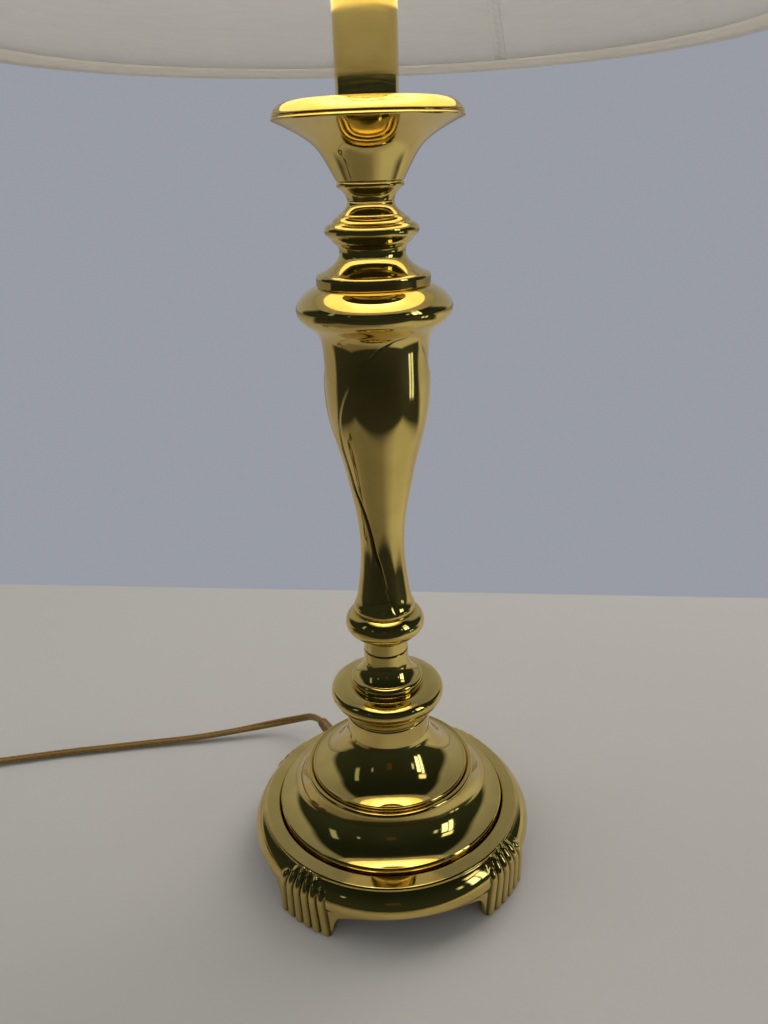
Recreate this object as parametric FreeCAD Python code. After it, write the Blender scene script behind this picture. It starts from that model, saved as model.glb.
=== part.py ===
import FreeCAD, Part
import math
import os

V = FreeCAD.Vector
AXIS = V(0, 0, 1)
ORIGIN = V(0, 0, 0)

# All lengths are in millimetres. The floor is at height 0 and the lamp's axis is the Z axis.
# Azimuths are in degrees from the front (-Y), positive towards +X.

# One overrun serves every cut
overrun = 1.0

# Clearances: a running fit between turned parts, and the gap that keeps moving parts apart
running_fit = 0.06
moving_gap = 0.3
loose_fit = 0.3

# Threaded rod that holds the whole stack together
rod_radius = 5.0
rod_bore_radius = 3.3
rod_chamfer = 0.6
rod_end_projection = 1.5
stack_bore_radius = rod_radius + loose_fit

# Base casting with four reeded feet
casting_radius = 93.4
casting_height = 40.0
casting_wall = 4.6
casting_seat_share = 0.96
casting_lip_share = 0.813
flange_width = 13.0
flange_thickness = 4.0
foot_wall_share = 0.974
foot_wall = 5.0
foot_count = 4
foot_azimuth = -38.5
foot_half_angle = 14.0
arch_middle_height = 19.0
arch_side_height = 14.5
reeds_per_foot = 6
# Each level of a foot: height, groove and crown of a reed out from the axis, and the angle of one reed
reed_level_shares = [
    (0.000, 0.960, 0.996, 4.3), (0.300, 0.966, 1.001, 3.8), (0.740, 0.968, 0.990, 2.4), (0.930, 0.890, 0.912, 1.4),
]
casting_shares = [
    [(0.985, 0.3625), (0.989, 0.510)],
    [(0.989, 0.510), (0.999, 0.580), (0.996, 0.665), (0.979, 0.760), (0.949, 0.855), (0.916, 0.922)],
    [(0.916, 0.922), (0.916, 0.955)],
    [(0.916, 0.955), (0.906, 0.972)],
    [(0.906, 0.972), (0.824, 1.000)],
    [(0.824, 1.000), (0.816, 0.990)],
    [(0.816, 0.990), (casting_lip_share, casting_seat_share)],
]
casting_hollow_shares = [(0.899, 0.79), (0.946, 0.65), (0.948, 0.50)]

# Base body: the wide cove that stands on the casting
body_fit = 0.9
body_radius = casting_radius * casting_lip_share - body_fit
body_height = 28.0
body_wall = 3.0
body_rim_share = 0.696
body_shares = [
    [(0.999, 0.000), (0.999, 0.150)],
    [(0.999, 0.150), (0.989, 0.189)],
    [(0.989, 0.189), (0.915, 0.279), (0.835, 0.450), (0.779, 0.675), (0.743, 0.943)],
    [(0.743, 0.943), (0.737, 1.007), (0.723, 1.036), (0.705, 1.029), (body_rim_share, 1.000)],
]
body_hollow_shares = [(0.700, 0.900), (0.735, 0.640), (0.793, 0.395), (0.875, 0.220), (0.955, 0.110)]
body_seat_width = 7.6

# Base dome: the smaller cove and the neck above it
dome_fit = 0.6
dome_radius = body_radius * body_rim_share - dome_fit
dome_height = 41.2
dome_top_plate = 5.0
dome_shares = [
    [(0.996, 0.000), (1.000, 0.024), (0.983, 0.063)],
    [(0.983, 0.063), (0.961, 0.063)],
    [(0.961, 0.063), (0.853, 0.129), (0.717, 0.272), (0.605, 0.461), (0.533, 0.636)],
    [(0.533, 0.636), (0.517, 0.706)],
    [(0.517, 0.706), (0.517, 1.000)],
]
dome_hollow_shares = [(0.445, 0.620), (0.525, 0.420), (0.660, 0.195), (0.830, 0.050), (0.880, 0.000)]

# Lower knop
knop_low_radius = 36.2
knop_low_height = 47.1
knop_low_shares = [
    [(0.735, 0.000), (0.718, 0.036)],
    [
        (0.718, 0.036), (0.773, 0.098), (0.873, 0.174), (0.964, 0.259), (1.000, 0.352),
        (0.967, 0.423), (0.873, 0.463), (0.751, 0.478), (0.624, 0.480),
    ],
    [(0.624, 0.480), (0.638, 0.531), (0.627, 0.582), (0.586, 0.609)],
    [(0.586, 0.609), (0.564, 0.611)],
    [(0.564, 0.611), (0.489, 0.671), (0.423, 0.760), (0.390, 0.862)],
    [(0.390, 0.862), (0.387, 1.000)],
]
knop_low_hollow_shares = [(0.300, 0.800), (0.480, 0.560), (0.480, 0.410), (0.860, 0.350), (0.600, 0.080)]

# Collar under the column
collar_radius = 24.6
collar_height = 28.6
collar_shares = [
    [(0.561, 0.000), (0.561, 0.269)],
    [
        (0.561, 0.269), (0.630, 0.343), (0.772, 0.406), (0.890, 0.483), (0.976, 0.584),
        (1.000, 0.703), (0.967, 0.815), (0.898, 0.906), (0.797, 0.976),
    ],
    [(0.797, 0.976), (0.756, 0.976)],
    [(0.756, 0.976), (0.756, 1.000)],
]
collar_hollow_shares = [(0.600, 0.900), (0.820, 0.700), (0.600, 0.450)]

# Column with the swirl of two leaves
column_radius = 42.5
column_height = 195.9
swirl_depth = 1.1
leaf_count = 2
# Each level of the column: height, radius, azimuth of the first crease, depth of the crease
column_level_shares = [
    (0.000, 0.440, 24, 0.00), (0.012, 0.444, 22, 0.15), (0.040, 0.410, 14, 0.35), (0.080, 0.370, 8, 0.60),
    (0.135, 0.336, -3, 0.80), (0.180, 0.320, -12, 0.90), (0.230, 0.317, -22, 1.00), (0.290, 0.336, -34, 1.00),
    (0.345, 0.374, -43, 1.00), (0.400, 0.425, -51, 1.00), (0.450, 0.474, -56, 1.00), (0.500, 0.525, -58, 1.00),
    (0.550, 0.588, -58, 1.00), (0.600, 0.644, -55, 1.00), (0.650, 0.686, -49, 1.00), (0.700, 0.705, -41, 0.95),
    (0.740, 0.709, -34, 0.90), (0.780, 0.706, -24, 0.80), (0.815, 0.706, -13, 0.60), (0.840, 0.711, -3, 0.35),
    (0.862, 0.731, 8, 0.00),
]
shoulder_shares = [
    [
        (0.731, 0.862), (0.758, 0.875), (0.821, 0.890), (0.915, 0.906), (0.984, 0.925), (0.998, 0.946),
        (0.962, 0.963), (0.871, 0.984), (0.744, 1.000),
    ],
]
column_hollow_shares = [(0.600, 0.880), (0.600, 0.720), (0.220, 0.300), (0.220, 0.120)]

# Upper knop with its disc
knop_up_radius = 30.7
knop_up_height = 42.4
knop_up_shares = [
    [(0.984, 0.000), (1.000, 0.019)],
    [(1.000, 0.019), (1.000, 0.113)],
    [(1.000, 0.113), (0.984, 0.146), (0.932, 0.167)],
    [(0.932, 0.167), (0.795, 0.212), (0.671, 0.278), (0.593, 0.354), (0.573, 0.425)],
    [(0.573, 0.425), (0.599, 0.481), (0.645, 0.514)],
    [(0.645, 0.514), (0.664, 0.519)],
    [(0.664, 0.519), (0.704, 0.566), (0.762, 0.604)],
    [(0.762, 0.604), (0.785, 0.611)],
    [(0.785, 0.611), (0.811, 0.646), (0.814, 0.684), (0.779, 0.731)],
    [(0.779, 0.731), (0.723, 0.755), (0.684, 0.762)],
    [(0.684, 0.762), (0.671, 0.781)],
    [(0.671, 0.781), (0.625, 0.816), (0.567, 0.835)],
    [(0.567, 0.835), (0.554, 0.854)],
    [(0.554, 0.854), (0.476, 0.896), (0.423, 0.946), (0.404, 1.000)],
]
knop_up_hollow_shares = [(0.300, 0.820), (0.600, 0.690), (0.400, 0.450), (0.500, 0.280), (0.850, 0.090)]

# Bell-shaped candle cup
cup_radius = 49.0
cup_height = 39.8
cup_floor_thickness = 11.4
cup_shares = [
    [(0.249, 0.000), (0.261, 0.060), (0.294, 0.121), (0.331, 0.161)],
    [(0.331, 0.161), (0.345, 0.166)],
    [(0.345, 0.166), (0.359, 0.191), (0.359, 0.219), (0.347, 0.241)],
    [(0.347, 0.241), (0.359, 0.251)],
    [(0.359, 0.251), (0.416, 0.382), (0.478, 0.518), (0.555, 0.648), (0.653, 0.749), (0.808, 0.859), (0.992, 0.962)],
    [(0.992, 0.962), (1.000, 0.980)],
    [(1.000, 0.980), (0.994, 1.000)],
]
cup_hollow_shares = [(0.955, 1.000), (0.955, 0.982), (0.790, 0.900), (0.620, 0.785), (0.510, 0.660), (0.432, 0.540)]

# Rolled drip pan on the cup
pan_inset = 0.5
pan_radius = cup_radius - pan_inset
pan_height = 7.5
pan_shares = [
    [(0.992, 0.000), (1.000, 0.107), (0.986, 0.347), (0.940, 0.680), (0.878, 0.907), (0.804, 1.000), (0.730, 0.907),
     (0.672, 0.640)],
    [(0.672, 0.640), (0.594, 0.320), (0.495, 0.187), (0.363, 0.160)],
]
pan_under_shares = [
    (0.495, 0.000), (0.602, 0.130), (0.672, 0.440), (0.740, 0.740), (0.804, 0.827), (0.868, 0.740), (0.925, 0.510),
    (0.960, 0.200), (0.965, 0.000),
]

# Candle tube and its cap
tube_radius = 15.875
tube_wall = 1.0
tube_length = 95.0
tube_fit = 0.15
tube_cap_overhang = 1.0
tube_cap_thickness = 3.0
tube_cap_spigot = 3.0

# Iron weight, washer and nut under the base
weight_gap = 5.4
weight_thickness = 8.0
washer_radius = 12.0
washer_thickness = 1.5
nut_across_flats = 17.0
nut_height = 6.0

# Harp saddle: a flat strip with an ear at each end
saddle_half_span = 33.0
saddle_width = 13.0
saddle_thickness = 1.4
ear_thickness = 0.8
ear_height = 15.0

# Harp: wire loop with a boss at its top for the stud
harp_wire_radius = 1.6
harp_boss_radius = 6.0
harp_boss_height = 4.0
harp_height = 198.6
harp_half_width = 57.0
harp_leg_share = 0.260
harp_bow_share = 0.450
harp_shoulder_share = 0.660
harp_corner_share = 0.900
harp_neck_share = 0.780

# Sleeves that lock the harp in the saddle
sleeve_radius = 4.3
sleeve_height = 16.5
sleeve_top_thickness = 1.4

# Stud, which turns in the boss and carries the shade
stud_flange_radius = 8.0
stud_flange_thickness = 1.5
stud_pivot_radius = 2.6
stud_pin_radius = 3.1
stud_pin_length = 14.0
stud_rivet_radius = 4.2
stud_rivet_thickness = 1.0

# Shade: cone of fabric on a lining, with two rings and a spider
shade_bottom_radius = 200.0
shade_top_radius = 63.5
shade_height = 248.0
shade_cloth_thickness = 0.6
spider_washer_radius = 14.0
spider_washer_thickness = 1.6
spider_arm_count = 3
spider_arm_radius = 1.3
spider_drop = 7.0
ring_wire_radius = 1.5
trim_height = 4.5
trim_thickness = 0.5

# Finial
finial_radius = 9.0
finial_height = 32.0
finial_bore_depth = 14.0
finial_shares = [
    [(0.733, 0.000), (0.800, 0.022), (0.800, 0.050), (0.711, 0.072)],
    [(0.711, 0.072), (0.511, 0.100), (0.400, 0.163), (0.433, 0.231)],
    [(0.433, 0.231), (0.622, 0.250), (0.667, 0.278), (0.600, 0.306)],
    [(0.600, 0.306), (0.844, 0.381), (1.000, 0.506), (0.922, 0.644), (0.644, 0.750), (0.333, 0.806)],
    [(0.333, 0.806), (0.400, 0.838), (0.400, 0.875)],
    [(0.400, 0.875), (0.356, 0.944), (0.200, 0.988), (0.000, 1.000)],
]

# Bulb base and the screw shell round it, which set the size of the socket
bulb_base_radius = 12.95
bulb_base_height = 22.0
bulb_base_wall = 0.5
screw_shell_wall = 0.6
screw_shell_height = 21.0

# Socket
socket_air = 1.4
cap_height = 22.0
cap_wall = 0.9
cap_shares = [
    [(0.436, 0.000), (0.436, 0.300)],
    [(0.436, 0.300), (0.520, 0.430), (0.810, 0.570), (0.977, 0.705), (1.000, 0.820)],
    [(1.000, 0.820), (1.000, 1.000)],
]
cap_hollow_shares = [(0.900, 0.700), (0.740, 0.590), (0.460, 0.450)]
set_screw_radius = 1.5
set_screw_length = 5.0
set_screw_height_share = 0.150
shell_overlap = 5.0
shell_wall = 0.7
shell_height = 40.0
insulator_wall = 0.6
insulator_height = 38.0
socket_body_fit = 0.2
socket_body_height = 14.0
terminal_flat_depth = 3.2
socket_body_bore_gap = 0.5
contact_radius = 4.0
contact_thickness = 1.6
terminal_screw_radius = 2.4
terminal_screw_head = 2.0
switch_shaft_radius = 1.6
switch_shaft_depth = 6.0
switch_knob_radius = 5.0
switch_knob_neck_radius = 3.4
switch_knob_length = 11.0
switch_knob_lobes = 8
switch_knob_groove_radius = 0.9
switch_knob_gap = 1.7

# Bulb
bulb_tip_radius = 4.2
bulb_tip_height = 1.6
bulb_radius = 30.0
bulb_height = 84.0
bulb_wall = 0.8
bulb_shares = [
    (0.440, 0.060), (0.580, 0.180), (0.830, 0.340), (0.985, 0.520), (0.985, 0.660), (0.870, 0.810),
    (0.560, 0.940), (0.000, 1.000),
]

# Wires through the rod, and the cord outside
inner_lead_radius = 2.1
inner_lead_floor_gap = 3.4
inner_lead_turn_place = 34.0
inner_lead_rise_place = 62.0
inner_lead_rise_height = 13.0
cord_azimuth = -152.0
cord_hole_height = 25.0
cord_radius = 3.0
bushing_flange_radius = 6.6
bushing_flange_thickness = 1.6
bushing_radius = 4.8
bushing_length = 20.0
bushing_tip_radius = 3.9
bushing_inside = 2.4

# Places of the cord between the bushing and the coil
cord_points = [
    (-60.0, 113.0, 22.0), (-74.0, 121.0, 14.0), (-97.0, 122.0, 9.0), (-128.0, 117.5, 6.0), (-162.0, 113.0, 3.8),
    (-196.0, 110.0, 3.1), (-230.0, 105.5, 3.1), (-264.0, 101.5, 3.1), (-298.0, 95.5, 3.2), (-333.0, 89.5, 3.6),
]

# Coil of the cord that is put away
coil_centre = (-376.0, 40.5)
coil_outer_radius = 45.5
coil_pitch = 6.6
coil_layer_pitch = 6.6
coil_turns = 6.25
coil_rise_turns = 0.5
coil_start_angle = 90.0
coil_biarcs_per_turn = 4
coil_lead_length = 8.0
# Stations of the tail: distance along the heading, and drop
tail_points = [(24.0, 0.0), (44.0, 1.3), (62.0, 1.7)]
tie_thickness = 0.8
tie_width = 9.0
tie_gap = 0.35
tie_azimuth = 90.0

# Plug
plug_width = 26.0
plug_length = 30.0
plug_corner = 3.0
plug_outline_shares = [(0.0, -0.36), (0.0, 0.36), (0.45, 0.5), (1.0, 0.5), (1.0, -0.5), (0.45, -0.5)]
plug_sleeve_length = 22.0
plug_sleeve_radius = 5.4
plug_sleeve_tip_radius = 3.8
blade_length = 17.0
blade_width = 6.3
blade_thickness = 1.5
blade_spacing = 12.7
blade_root = 3.0
blade_hole_radius = 1.6

# Radii that follow from the ones above
flange_bore_radius = body_radius - flange_width
foot_wall_radius = casting_radius * foot_wall_share
weight_radius = casting_radius * casting_hollow_shares[0][0] - casting_wall - weight_gap
tube_cap_radius = tube_radius + tube_cap_overhang
shade_ring_inset = ring_wire_radius + loose_fit

# Heights of the stack, from the floor up
body_bottom = casting_height * casting_seat_share
dome_bottom = body_bottom + body_height
knop_low_bottom = dome_bottom + dome_height
collar_bottom = knop_low_bottom + knop_low_height
column_bottom = collar_bottom + collar_height
knop_up_bottom = column_bottom + column_height
cup_bottom = knop_up_bottom + knop_up_height
pan_bottom = cup_bottom + cup_height
tube_bottom = cup_bottom + cup_floor_thickness
tube_top = tube_bottom + tube_length
saddle_bottom = tube_top + tube_cap_thickness
saddle_top = saddle_bottom + saddle_thickness
cap_bottom = saddle_top
weight_top = body_bottom - flange_thickness
weight_bottom = weight_top - weight_thickness
washer_bottom = weight_bottom - washer_thickness
nut_bottom = washer_bottom - nut_height
rod_bottom = nut_bottom - rod_end_projection
rod_top = cap_bottom + cap_height * cap_shares[0][1][1]
shell_bottom = cap_bottom + cap_height - shell_overlap
screw_shell_bore = bulb_base_radius + running_fit
insulator_bore = screw_shell_bore + screw_shell_wall + socket_air
insulator_radius = insulator_bore + insulator_wall
shell_radius = insulator_radius + shell_wall
cap_radius = shell_radius + cap_wall
socket_body_radius = insulator_bore - socket_body_fit
socket_body_flat = socket_body_radius - terminal_flat_depth
switch_knob_reach = shell_radius + switch_knob_gap
socket_body_bottom = shell_bottom + moving_gap
socket_body_top = socket_body_bottom + socket_body_height
contact_top = socket_body_top + contact_thickness
bulb_tip_bottom = contact_top + moving_gap
bulb_base_bottom = bulb_tip_bottom + bulb_tip_height
bulb_bottom = bulb_base_bottom + bulb_base_height
switch_height = socket_body_bottom + socket_body_height / 2
harp_bottom = saddle_top + moving_gap
harp_top = harp_bottom + harp_height
boss_bottom = harp_top - harp_boss_height / 2
boss_top = boss_bottom + harp_boss_height
flange_bottom = boss_top + moving_gap
spider_bottom = flange_bottom + stud_flange_thickness
spider_top = spider_bottom + spider_washer_thickness
finial_bottom = spider_top + moving_gap
shade_top = spider_bottom + spider_washer_thickness / 2 + spider_drop
shade_bottom = shade_top - shade_height
sleeve_bottom = saddle_top + moving_gap


def at(azimuth, out, height):
    """Point at an azimuth from the front, a distance out from the axis and a height."""
    angle = math.radians(azimuth)
    return V(out * math.sin(angle), -out * math.cos(angle), height)


def stroke(points):
    """Edge through points: a line for two of them, a smooth curve for more."""
    if len(points) == 2:
        return Part.LineSegment(points[0], points[1]).toShape()
    curve = Part.BSplineCurve()
    curve.interpolate(points)
    return curve.toShape()


def profile_points(shares, radius, height, bottom):
    """Points of a half section from shares of a piece's radius and height."""
    return [V(radius * out, 0, bottom + height * up) for out, up in shares]


def turned(outer, inner):
    """Solid of revolution between a list of outer strokes and one inner run of points."""
    edges = [stroke(points) for points in outer]
    start = outer[0][0]
    end = outer[-1][-1]
    run = [end] + inner + [start]
    for first, second in zip(run, run[1:]):
        if first.distanceToPoint(second) > Part.Precision.confusion():
            edges.append(stroke([first, second]))
    face = Part.Face(Part.Wire(edges))
    return face.revolve(ORIGIN, AXIS, 360)


def turned_piece(shares, radius, height, bottom, inner):
    """Turned piece whose outer strokes are shares and whose inner points are places (out, height)."""
    outer = [profile_points(points, radius, height, bottom) for points in shares]
    return turned(outer, [V(out, 0, up) for out, up in inner])


def hollow_points(shares, radius, height, bottom):
    """Inner places of a turned piece from shares, listed from the top down."""
    return [(radius * out, bottom + height * up) for out, up in shares]


def cylinder(radius, height, bottom, centre=(0, 0)):
    return Part.makeCylinder(radius, height, V(centre[0], centre[1], bottom), AXIS)


def ring(outer_radius, inner_radius, height, bottom):
    return cylinder(outer_radius, height, bottom).cut(
        cylinder(inner_radius, height + 2 * overrun, bottom - overrun)
    )


def prism(points, direction):
    """Solid made by moving the polygon through points along a direction."""
    return Part.Face(Part.makePolygon(points + points[:1])).extrude(direction)


def turn_half(first, middle, last):
    """Half of the angle by which a route turns at its middle point, in radians."""
    return (middle - first).getAngle(last - middle) / 2


def rounded_path(points):
    """Straight runs joined by tangent arcs, as large as the runs allow, and the radii of the arcs."""
    edges = []
    radii = []
    here = points[0]
    for first, middle, last in zip(points, points[1:], points[2:]):
        back = (first - middle).normalize()
        ahead = (last - middle).normalize()
        reach = 0.45 * min(middle.distanceToPoint(first), middle.distanceToPoint(last))
        half = turn_half(first, middle, last)
        radii.append(reach / math.tan(half))
        start = middle + back * reach
        end = middle + ahead * reach
        inward = (back + ahead).normalize()
        bulge = middle + inward * (radii[-1] / math.cos(half) - radii[-1])
        edges.append(Part.LineSegment(here, start).toShape())
        edges.append(Part.Arc(start, bulge, end).toShape())
        here = end
    edges.append(Part.LineSegment(here, points[-1]).toShape())
    return Part.Wire(edges), radii


def tube_along(path, radius):
    """Round tube swept along a wire."""
    start = path.Edges[0].firstVertex(True).Point
    heading = path.Edges[0].tangentAt(path.Edges[0].FirstParameter)
    section = Part.Wire([Part.makeCircle(radius, start, heading)])
    return path.makePipeShell([section], True, False)


def arc_from(start, heading, end):
    """Arc that leaves a point along a heading and ends at another point."""
    chord = end - start
    across = chord - heading * chord.dot(heading)
    turn = 2 * heading.getAngle(chord)
    across = across.normalize()
    radius = chord.Length / (2 * math.sin(turn / 2))
    middle = start + heading * (radius * math.sin(turn / 2)) + across * (radius * (1 - math.cos(turn / 2)))
    return Part.Arc(start, middle, end).toShape()


def biarc(start, start_heading, end, end_heading):
    """Two tangent arcs from one place and heading to another."""
    chord = end - start
    both = start_heading + end_heading
    a = 2 * (1 - start_heading.dot(end_heading))
    b = 2 * chord.dot(both)
    c = -chord.dot(chord)
    reach = (-b + math.sqrt(b * b - 4 * a * c)) / (2 * a)
    first = start + start_heading * reach
    second = end - end_heading * reach
    middle = (first + second) * 0.5
    heading = (second - first).normalize()
    return [arc_from(start, start_heading, middle), arc_from(middle, heading, end)]


def make_casting():
    """Base casting: skirt with a flat ring on top, arched between four reeded feet."""
    inner = [
        (flange_bore_radius, body_bottom),
        (flange_bore_radius, weight_top),
        (casting_radius * casting_hollow_shares[0][0] - casting_wall, weight_top),
    ]
    inner += hollow_points(casting_hollow_shares, casting_radius, casting_height, 0)
    inner += [(foot_wall_radius - foot_wall, arch_side_height), (foot_wall_radius - foot_wall, 0)]
    inner += [(foot_wall_radius, 0), (foot_wall_radius, arch_side_height)]
    shape = turned_piece(casting_shares, casting_radius, casting_height, 0, inner)
    step = 360 / foot_count
    shape = shape.cut([arch_cutter(foot_azimuth + (foot + 0.5) * step) for foot in range(foot_count)])
    shape = shape.fuse([make_foot(foot_azimuth + foot * step) for foot in range(foot_count)])
    hole = Part.makeCylinder(
        bushing_radius, casting_radius, at(cord_azimuth, flange_bore_radius, cord_hole_height), at(cord_azimuth, 1, 0)
    )
    return shape.cut(hole)


def make_foot(azimuth):
    """Foot with rounded reeds that fan out from the ring down to the floor."""
    inside = (foot_wall_radius - foot_wall / 2) / casting_radius
    sections = []
    for up, groove, crown, angle in reed_level_shares:
        height = casting_height * up
        edges = []
        for reed in range(reeds_per_foot):
            start = azimuth + (reed - reeds_per_foot / 2) * angle
            first = at(start, casting_radius * groove, height)
            middle = at(start + angle / 2, casting_radius * crown, height)
            last = at(start + angle, casting_radius * groove, height)
            edges.append(Part.Arc(first, middle, last).toShape())
        half = reeds_per_foot / 2 * angle
        back = casting_radius * min(inside, groove - (1 - inside))
        corners = [
            at(azimuth + half, casting_radius * groove, height),
            at(azimuth + half, back, height),
            at(azimuth - half, back, height),
            at(azimuth - half, casting_radius * groove, height),
        ]
        edges += [stroke(list(pair)) for pair in zip(corners, corners[1:])]
        sections.append(Part.Wire(edges))
    return Part.makeLoft(sections, True, True)


def arch_cutter(azimuth):
    """Block with an arched top that opens the skirt between two feet."""
    half = (casting_radius + overrun) * math.sin(math.radians(180 / foot_count - foot_half_angle))
    depth = casting_radius + overrun - foot_wall_radius / 2
    side = V(half, 0, arch_side_height)
    other = V(-half, 0, arch_side_height)
    low_side = V(half, 0, -overrun)
    low_other = V(-half, 0, -overrun)
    edges = [
        Part.Arc(side, V(0, 0, arch_middle_height), other).toShape(),
        stroke([other, low_other]),
        stroke([low_other, low_side]),
        stroke([low_side, side]),
    ]
    block = Part.Face(Part.Wire(edges)).extrude(V(0, -depth, 0))
    block.translate(V(0, -foot_wall_radius / 2, 0))
    block.rotate(ORIGIN, AXIS, azimuth)
    return block


def make_body():
    seat = dome_radius - body_seat_width
    inner = [(seat, dome_bottom), (seat, dome_bottom - body_wall)]
    inner += hollow_points(body_hollow_shares, body_radius, body_height, body_bottom)
    inner += [(body_radius * body_hollow_shares[-1][0], body_bottom)]
    return turned_piece(body_shares, body_radius, body_height, body_bottom, inner)


def make_dome():
    inner = [(stack_bore_radius, knop_low_bottom), (stack_bore_radius, knop_low_bottom - dome_top_plate)]
    inner += [(dome_radius * dome_hollow_shares[0][0], knop_low_bottom - dome_top_plate)]
    inner += hollow_points(dome_hollow_shares, dome_radius, dome_height, dome_bottom)
    return turned_piece(dome_shares, dome_radius, dome_height, dome_bottom, inner)


def bored(top, bottom):
    """Inner places of a piece that only has the rod's hole."""
    return [(stack_bore_radius, top), (stack_bore_radius, bottom)]


def pocketed(shape, shares, radius, height, bottom):
    """Piece with a closed pocket about the rod's hole, as a hollow casting has."""
    places = [V(radius * out, 0, bottom + height * up) for out, up in shares]
    start = V(stack_bore_radius, 0, places[0].z)
    end = V(stack_bore_radius, 0, places[-1].z)
    outline = [start] + places + [end]
    face = Part.Face(Part.makePolygon(outline + [start]))
    return shape.cut(face.revolve(ORIGIN, AXIS, 360))


def make_knop_low():
    shape = turned_piece(
        knop_low_shares, knop_low_radius, knop_low_height, knop_low_bottom, bored(collar_bottom, knop_low_bottom)
    )
    return pocketed(shape, knop_low_hollow_shares, knop_low_radius, knop_low_height, knop_low_bottom)


def make_collar():
    shape = turned_piece(
        collar_shares, collar_radius, collar_height, collar_bottom, bored(column_bottom, collar_bottom)
    )
    return pocketed(shape, collar_hollow_shares, collar_radius, collar_height, collar_bottom)


def leaf_section(height, radius, crease, depth):
    """Closed section of the column: one convex arc for each leaf, meeting in creases."""
    places = []
    for half in range(2 * leaf_count):
        out = radius - depth if half % 2 == 0 else radius
        places.append(at(crease + half * 180 / leaf_count, out, height))
    edges = []
    for leaf in range(leaf_count):
        first = places[2 * leaf]
        last = places[(2 * leaf + 2) % len(places)]
        edges.append(Part.Arc(first, places[2 * leaf + 1], last).toShape())
    return Part.Wire(edges)


def make_column():
    """Column: a loft through the swirl's sections, with the turned shoulder on top."""
    sections = []
    for up, out, crease, depth in column_level_shares:
        height = column_bottom + column_height * up
        sections.append(leaf_section(height, column_radius * out, crease, swirl_depth * depth))
    shaft = Part.makeLoft(sections, True, False)
    shoulder_bottom = column_bottom + column_height * shoulder_shares[0][0][1]
    axis_places = [(0, knop_up_bottom), (0, shoulder_bottom)]
    shoulder = turned_piece(shoulder_shares, column_radius, column_height, column_bottom, axis_places)
    shape = shaft.fuse(shoulder)
    bore = cylinder(stack_bore_radius, column_height + 2 * overrun, column_bottom - overrun)
    shape = shape.cut(bore)
    return pocketed(shape, column_hollow_shares, column_radius, column_height, column_bottom)


def make_knop_up():
    shape = turned_piece(
        knop_up_shares, knop_up_radius, knop_up_height, knop_up_bottom, bored(cup_bottom, knop_up_bottom)
    )
    return pocketed(shape, knop_up_hollow_shares, knop_up_radius, knop_up_height, knop_up_bottom)


def make_cup():
    inner = hollow_points(cup_hollow_shares, cup_radius, cup_height, cup_bottom)
    seat = tube_radius + tube_fit
    inner += [(seat, tube_bottom + cup_floor_thickness / 2), (seat, tube_bottom)]
    inner += bored(tube_bottom, cup_bottom)
    return turned_piece(cup_shares, cup_radius, cup_height, cup_bottom, inner)


def make_pan():
    hole = tube_radius + tube_fit
    inner = [(hole, pan_bottom + pan_height * pan_shares[-1][-1][1]), (hole, pan_bottom)]
    inner += hollow_points(pan_under_shares, pan_radius, pan_height, pan_bottom)
    return turned_piece(pan_shares, pan_radius, pan_height, pan_bottom, inner)


def make_tube():
    return ring(tube_radius, tube_radius - tube_wall, tube_length, tube_bottom)


def make_tube_cap():
    spigot = cylinder(tube_radius - tube_wall - tube_fit, tube_cap_spigot, tube_top - tube_cap_spigot)
    shape = cylinder(tube_cap_radius, tube_cap_thickness, tube_top).fuse(spigot)
    return shape.cut(cylinder(stack_bore_radius, column_height, tube_top - tube_cap_spigot - overrun))


def make_rod():
    length = rod_top - rod_bottom
    shape = cylinder(rod_radius, length, rod_bottom)
    rims = [edge for edge in shape.Edges if edge.Closed and abs(edge.Curve.Axis.z) > 0]
    shape = shape.makeChamfer(rod_chamfer, rims)
    return shape.cut(cylinder(rod_bore_radius, length + 2 * overrun, rod_bottom - overrun))


def make_weight():
    return ring(weight_radius, stack_bore_radius, weight_thickness, weight_bottom)


def make_washer():
    return ring(washer_radius, stack_bore_radius, washer_thickness, washer_bottom)


def make_nut():
    corner = nut_across_flats / math.sqrt(3)
    corners = [at(30 + 60 * side, corner, nut_bottom) for side in range(6)]
    shape = prism(corners, V(0, 0, nut_height))
    return shape.cut(cylinder(rod_radius, nut_height + 2 * overrun, nut_bottom - overrun))


def make_saddle():
    """Strip across the rod with a half-round ear at each end for the harp's legs."""
    half = saddle_width / 2
    strip = Part.makeBox(
        2 * saddle_half_span, saddle_width, saddle_thickness, V(-saddle_half_span, -half, saddle_bottom)
    )
    ear_inner = harp_wire_radius + running_fit
    ear_outer = ear_inner + ear_thickness
    parts = []
    for side in (-1, 1):
        centre = (side * saddle_half_span, 0)
        parts.append(cylinder(half, saddle_thickness, saddle_bottom, centre))
        pipe = cylinder(ear_outer, saddle_thickness + ear_height, saddle_bottom, centre)
        pipe = pipe.cut(cylinder(ear_inner, ear_height + overrun, saddle_top, centre))
        keep = Part.makeBox(
            ear_outer, 2 * ear_outer, saddle_thickness + ear_height, V(0, -ear_outer, saddle_bottom)
        )
        keep.translate(V(centre[0] if side > 0 else centre[0] - ear_outer, 0, 0))
        parts.append(pipe.common(keep))
    shape = strip.fuse(parts)
    shape = shape.cut(cylinder(stack_bore_radius, saddle_thickness + 2 * overrun, saddle_bottom - overrun))
    return shape.removeSplitter()


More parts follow.
